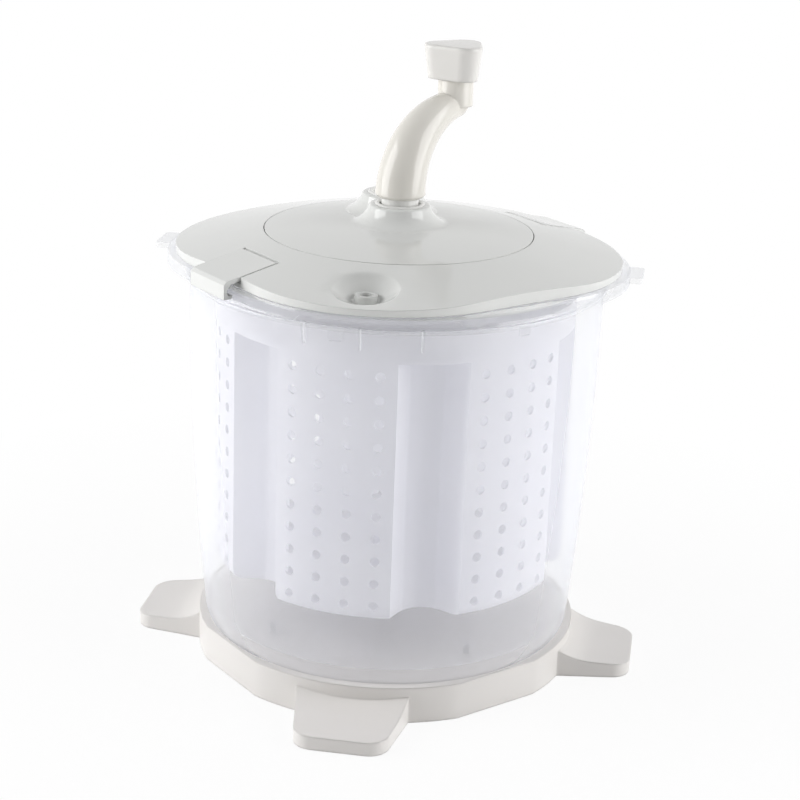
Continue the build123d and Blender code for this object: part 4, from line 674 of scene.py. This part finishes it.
def panels_round(tree, given, panel):
    """One panel for each side of the drum."""
    seats = add(tree, "GeometryNodePoints", {"Count": given["Panels"]})
    number = add(tree, "GeometryNodeInputIndex").outputs[0]
    step = add(tree, "ShaderNodeMath", {0: 2 * pi, 1: given["Panels"]}, operation="DIVIDE").outputs[0]
    turned = add(tree, "ShaderNodeMath", {0: number, 1: step}, operation="MULTIPLY").outputs[0]
    first = add(tree, "ShaderNodeMath", {0: given["First azimuth"]}, operation="RADIANS").outputs[0]
    azimuth = add(tree, "ShaderNodeMath", {0: turned, 1: first}, operation="ADD").outputs[0]
    rotation = add(tree, "ShaderNodeCombineXYZ", {"Z": azimuth})
    drum = add(tree, "GeometryNodeInstanceOnPoints",
               {"Points": seats.outputs[0], "Instance": panel, "Rotation": rotation.outputs[0]})
    return add(tree, "GeometryNodeRealizeInstances", {0: drum.outputs[0]}).outputs[0]


def perforated_panels():
    """Geometry Nodes tree of the perforated panels, and the value of each of its inputs."""
    tree = bpy.data.node_groups.new("perforated_panels", "GeometryNodeTree")
    sizes = {"Hole radius": HOLE_R, "Hole sides": HOLE_SIDES, "Columns": HOLE_COLUMNS, "Rows": HOLE_ROWS,
             "Pitch across": HOLE_PITCH_X, "Pitch up": HOLE_PITCH_Z, "Sheet half": SHEET_HALF,
             "Curve radius": PANEL_CURVE_R, "Reach": PANEL_REACH, "Panels": PANELS,
             "First azimuth": PANEL_AZIMUTH, "Middle": HOLE_MIDDLE}
    values = {}
    for name, value in sizes.items():
        kind = "NodeSocketInt" if isinstance(value, int) else "NodeSocketFloat"
        socket = tree.interface.new_socket(name, in_out="INPUT", socket_type=kind)
        values[socket.identifier] = value
    tree.interface.new_socket("Geometry", in_out="OUTPUT", socket_type="NodeSocketGeometry")
    given = add(tree, "NodeGroupInput").outputs
    panel = curved_panel(tree, given, flat_sheet(tree, given, hole_cell(tree, given)))
    drum = panels_round(tree, given, panel)
    dressed = add(tree, "GeometryNodeSetMaterial", {"Geometry": drum, "Material": BASKET})
    add(tree, "NodeGroupOutput", {0: dressed.outputs[0]})
    return tree, values


def grown(name, tree, values):
    """The plain mesh that a Geometry Nodes tree makes with the given values."""
    obj = bpy.data.objects.new(name, bpy.data.meshes.new(name))
    scene.collection.objects.link(obj)
    modifier = obj.modifiers.new(name, "NODES")
    modifier.node_group = tree
    for identifier, value in values.items():
        modifier[identifier] = value
    depsgraph = bpy.context.evaluated_depsgraph_get()
    mesh = bpy.data.meshes.new_from_object(obj.evaluated_get(depsgraph))
    obj.modifiers.clear()
    bpy.data.objects.remove(obj)
    return mesh


def cell_stops(count, pitch, middle):
    """Places of the vertices along a row of cells, as the holes' sides throw them on the cell's edge."""
    shares = [tan(2 * pi * k / HOLE_SIDES) for k in range(-HOLE_SIDES // 8, HOLE_SIDES // 8 + 1)]
    stops = set()
    for i in range(count):
        centre = middle + (i - (count - 1) / 2) * pitch
        stops |= {round(centre + share * pitch / 2, 4) for share in shares}
    return sorted(stops)


def panel_point(azimuth, along):
    """Plan point of a panel, a distance along its curve from its middle."""
    angle = along / PANEL_CURVE_R
    out = PANEL_REACH - PANEL_CURVE_R * (1 - cos(angle))
    return place(out, azimuth, 0, PANEL_CURVE_R * sin(angle))[:2]


def flute_path(azimuth):
    """Plan points of a groove, from the edge of one panel's sheet to the edge of the next."""
    step = 360 / PANELS
    edge = PANEL_REACH - PANEL_CURVE_R + sqrt(PANEL_CURVE_R ** 2 - PANEL_HALF ** 2)
    low, high = azimuth - step / 2, azimuth + step / 2
    corners = [(*panel_point(low, SHEET_HALF), 0),
               (*place(edge, low, 0, PANEL_HALF)[:2], PANEL_EASE),
               (*place(FLUTE_REACH + FLUTE_RISE, azimuth, 0, -FLUTE_HALF)[:2], FLUTE_EASE),
               (*place(FLUTE_REACH, azimuth, 0)[:2], FLUTE_BOTTOM_EASE),
               (*place(FLUTE_REACH + FLUTE_RISE, azimuth, 0, FLUTE_HALF)[:2], FLUTE_EASE),
               (*place(edge, high, 0, -PANEL_HALF)[:2], PANEL_EASE),
               (*panel_point(high, -SHEET_HALF), 0)]
    return eased(corners, steps=4)


def drum_plan():
    """The drum's plan in order round it: whether a stretch is a panel, and its plan points."""
    across = [min(max(x, -SHEET_HALF), SHEET_HALF) for x in cell_stops(HOLE_COLUMNS, HOLE_PITCH_X, 0)]
    step = 360 / PANELS
    plan = []
    for i in range(PANELS):
        azimuth = PANEL_AZIMUTH + i * step
        plan.append((True, [panel_point(azimuth, x) for x in across]))
        plan.append((False, flute_path(azimuth + step / 2)))
    return plan


def basket_side(z):
    """Largest radius of the basket at a height: the collar's, drawn in round the lower edge."""
    drop = max(BASKET_FOOT + BASKET_CORNER - z, 0)
    return COLLAR_R - BASKET_CORNER + sqrt(max(BASKET_CORNER ** 2 - drop ** 2, 0))


def held_in(x, y, z):
    """The point, drawn in to the basket's largest radius at its height."""
    share = min(1.0, basket_side(z) / hypot(x, y))
    return (x * share, y * share, z)


def add_wall(bm, points, heights):
    """Quads between the same plan points at several heights. Gives the rows of vertices."""
    rows = [[bm.verts.new(held_in(x, y, z)) for x, y in points] for z in heights]
    for low, high in zip(rows, rows[1:]):
        for j in range(len(points) - 1):
            bm.faces.new((low[j], low[j + 1], high[j + 1], high[j]))
    return rows


def pushed(bm, row, reach, z):
    """A copy of a row of vertices at another height, pushed out or in to one radius."""
    copy = []
    for vert in row:
        share = reach / hypot(vert.co.x, vert.co.y)
        copy.append(bm.verts.new((vert.co.x * share, vert.co.y * share, z)))
    return copy


def panel_side(a, b):
    """How far the middle of two points lies sideways from the nearest panel's middle."""
    x, y = (a.x + b.x) / 2, (a.y + b.y) / 2
    half = pi / PANELS
    angle = (atan2(x, -y) - radians(PANEL_AZIMUTH) + half) % (2 * half) - half
    return abs(hypot(x, y) * sin(angle))


def add_basket_floor(bm, row):
    """The floor from the hub out to the drum's lower edge."""
    inner = pushed(bm, row, HUB_R, BASKET_FOOT)
    for j in range(len(row) - 1):
        bm.faces.new((inner[j], inner[j + 1], row[j + 1], row[j]))


def add_collar(bm, row):
    """The ledge from the drum's upper edge to the collar, and the collar with a notch at each panel."""
    for height in (BASKET_LEDGE, NOTCH_TOP, BASKET_TOP):
        above = pushed(bm, row, COLLAR_R, height)
        for j in range(len(row) - 1):
            in_notch = height == BASKET_TOP and panel_side(above[j].co, above[j + 1].co) < NOTCH_W / 2
            if not in_notch:
                bm.faces.new((row[j], row[j + 1], above[j + 1], above[j]))
        row = above


def make_basket():
    bm = bmesh.new()
    bm.from_mesh(grown("perforated_panels", *perforated_panels()))
    for vert in bm.verts:
        vert.co = held_in(*vert.co)
    levels = cell_stops(HOLE_ROWS, HOLE_PITCH_Z, HOLE_MIDDLE)
    quarter = [pi / 2 * k / CORNER_STEPS for k in range(CORNER_STEPS + 1)]
    corner = [BASKET_FOOT + BASKET_CORNER * (1 - cos(angle)) for angle in quarter]
    foot = [z for z in corner if z < levels[0] - LEAST_STRIP]
    for is_panel, points in drum_plan():
        if is_panel:
            lower = add_wall(bm, points, foot + levels[:1])
            upper = add_wall(bm, points, levels[-1:] + [BASKET_LEDGE])
        else:
            lower = upper = add_wall(bm, points, foot + levels + [BASKET_LEDGE])
        add_basket_floor(bm, lower[0])
        add_collar(bm, upper[-1])
    bmesh.ops.remove_doubles(bm, verts=bm.verts, dist=WELD)
    bmesh.ops.recalc_face_normals(bm, faces=bm.faces)
    bmesh.ops.solidify(bm, geom=bm.faces, thickness=BASKET_WALL)
    piece("perforated_basket", finished("perforated_basket", bm), "basket", "basket_screens")


def make_basket_hub():
    bm = bmesh.new()
    cap = HUB_HIGH - HUB_CAP
    turn(bm, [(0, cap), (HUB_BORE_R, cap), (HUB_BORE_R, HUB_LOW), (HUB_R, HUB_LOW), (HUB_R, HUB_HIGH),
              (0, HUB_HIGH)], step=10)
    piece("basket_hub", finished("basket_hub", bm), "basket")


make_tub()
make_basket()
make_basket_hub()
for node in FINISH:
    if node not in ("tub", "basket", "basket_screens"):
        piece(node + "_skin", welded(node), node)


# Studio: a white sweep, soft light from all round, and a dim side where the camera stands
FLOOR_SIZE = 6.0
FLOOR_FADE_M = (0.25, 0.6)
FLOOR_GLOW = (0.9, 1.0)
DIM_SIDE_UP = 10
DIM_SIDE_FROM = (0.1, 0.9)
DIM_SIDE_LEVEL = (1.0, 0.03)
OVERHEAD_FROM = (0.2, 0.9)
OVERHEAD_LEVEL = (0.84, 0.36)
SOFTBOX_UP = 20
SOFTBOX_DISTANCE = 1.8
SOFTBOX_WIDTH = 1.3
SOFTBOX_HEIGHT = 1.6


def seen(tree):
    """Two switches: rays that see the background straight, mirrored or through a clear wall, and
    the camera's own rays alone."""
    rays = add(tree, "ShaderNodeLightPath").outputs
    mirrored = add(tree, "ShaderNodeMath", {0: rays["Is Glossy Ray"], 1: rays["Is Transmission Ray"]},
                   operation="MAXIMUM")
    straight = add(tree, "ShaderNodeMath", {0: rays["Is Camera Ray"], 1: mirrored.outputs["Value"]},
                   operation="MAXIMUM")
    return straight.outputs["Value"], rays["Is Camera Ray"]


def set_world():
    """A white room that is dimmer behind the camera and a little dimmer overhead."""
    world = bpy.data.worlds.new("studio")
    world.use_nodes = True
    tree = world.node_tree
    tree.nodes.clear()
    way = add(tree, "ShaderNodeTexCoord").outputs["Generated"]
    towards = add(tree, "ShaderNodeVectorMath", {0: way, 1: facing(CAMERA_AZIMUTH, DIM_SIDE_UP)},
                  operation="DOT_PRODUCT")
    front = add(tree, "ShaderNodeMapRange",
                {"Value": towards.outputs["Value"],
                 "From Min": DIM_SIDE_FROM[0], "From Max": DIM_SIDE_FROM[1],
                 "To Min": DIM_SIDE_LEVEL[0], "To Max": DIM_SIDE_LEVEL[1]})
    height = add(tree, "ShaderNodeSeparateXYZ", {0: way})
    above = add(tree, "ShaderNodeMapRange",
                {"Value": height.outputs["Z"], "From Min": OVERHEAD_FROM[0], "From Max": OVERHEAD_FROM[1],
                 "To Min": OVERHEAD_LEVEL[0], "To Max": OVERHEAD_LEVEL[1]})
    dim = add(tree, "ShaderNodeMath", {0: front.outputs["Result"], 1: above.outputs["Result"]},
              operation="MULTIPLY")
    is_seen, by_camera = seen(tree)
    backdrop = add(tree, "ShaderNodeMath", {0: front.outputs["Result"], 1: by_camera}, operation="MAXIMUM")
    level = add(tree, "ShaderNodeMix",
                {"Factor": is_seen, "A": dim.outputs["Value"], "B": backdrop.outputs["Value"]})
    light = add(tree, "ShaderNodeBackground", {"Color": linear("#ffffff"), "Strength": level.outputs[0]})
    add(tree, "ShaderNodeOutputWorld", {"Surface": light.outputs["Background"]})
    scene.world = world


def white_sweep():
    """Matt studio paper: takes the object's soft shadow, and turns to plain white further out."""
    material, tree = new_material("white_sweep")
    paper = add(tree, "ShaderNodeBsdfDiffuse", {"Color": linear("#f4f4f4")})
    glow = add(tree, "ShaderNodeEmission", {"Color": linear("#ffffff"), "Strength": 1.0})
    coords = add(tree, "ShaderNodeTexCoord").outputs["Object"]
    reach = add(tree, "ShaderNodeVectorMath", {0: coords}, operation="LENGTH")
    fade = add(tree, "ShaderNodeMapRange",
               {"Value": reach.outputs["Value"], "From Min": FLOOR_FADE_M[0], "From Max": FLOOR_FADE_M[1],
                "To Min": FLOOR_GLOW[0], "To Max": FLOOR_GLOW[1]})
    is_seen, _ = seen(tree)
    share = add(tree, "ShaderNodeMath", {0: is_seen, 1: fade.outputs["Result"]}, operation="MULTIPLY")
    top = add(tree, "ShaderNodeMixShader",
              {0: share.outputs["Value"], 1: paper.outputs["BSDF"], 2: glow.outputs["Emission"]})
    add(tree, "ShaderNodeOutputMaterial", {"Surface": top.outputs["Shader"]})
    return material


def set_floor():
    half = FLOOR_SIZE / 2
    corners = [(-half, -half, 0), (half, -half, 0), (half, half, 0), (-half, half, 0)]
    mesh = bpy.data.meshes.new("floor")
    mesh.from_pydata(corners, [], [(0, 1, 2, 3)])
    mesh.materials.append(white_sweep())
    floor = bpy.data.objects.new("floor", mesh)
    scene.collection.objects.link(floor)


def softbox(name, azimuth, watts):
    """A rectangular lamp that faces the middle of the machine, at an azimuth from the camera's."""
    way = facing(CAMERA_AZIMUTH + azimuth, SOFTBOX_UP)
    data = bpy.data.lights.new(name, "AREA")
    data.shape = "RECTANGLE"
    data.size = SOFTBOX_WIDTH
    data.size_y = SOFTBOX_HEIGHT
    data.energy = watts
    lamp = bpy.data.objects.new(name, data)
    spot = way * SOFTBOX_DISTANCE + Vector((0, 0, CAMERA_AIM_Z))
    lamp.matrix_world = Matrix.Translation(spot) @ way.to_track_quat("Z", "Y").to_matrix().to_4x4()
    scene.collection.objects.link(lamp)


set_world()
set_floor()
softbox("left_softbox", azimuth=-78, watts=28)
softbox("right_softbox", azimuth=73, watts=23.5)

scene.view_settings.view_transform = "Standard"
scene.cycles.max_bounces = 14
scene.cycles.transparent_max_bounces = 32
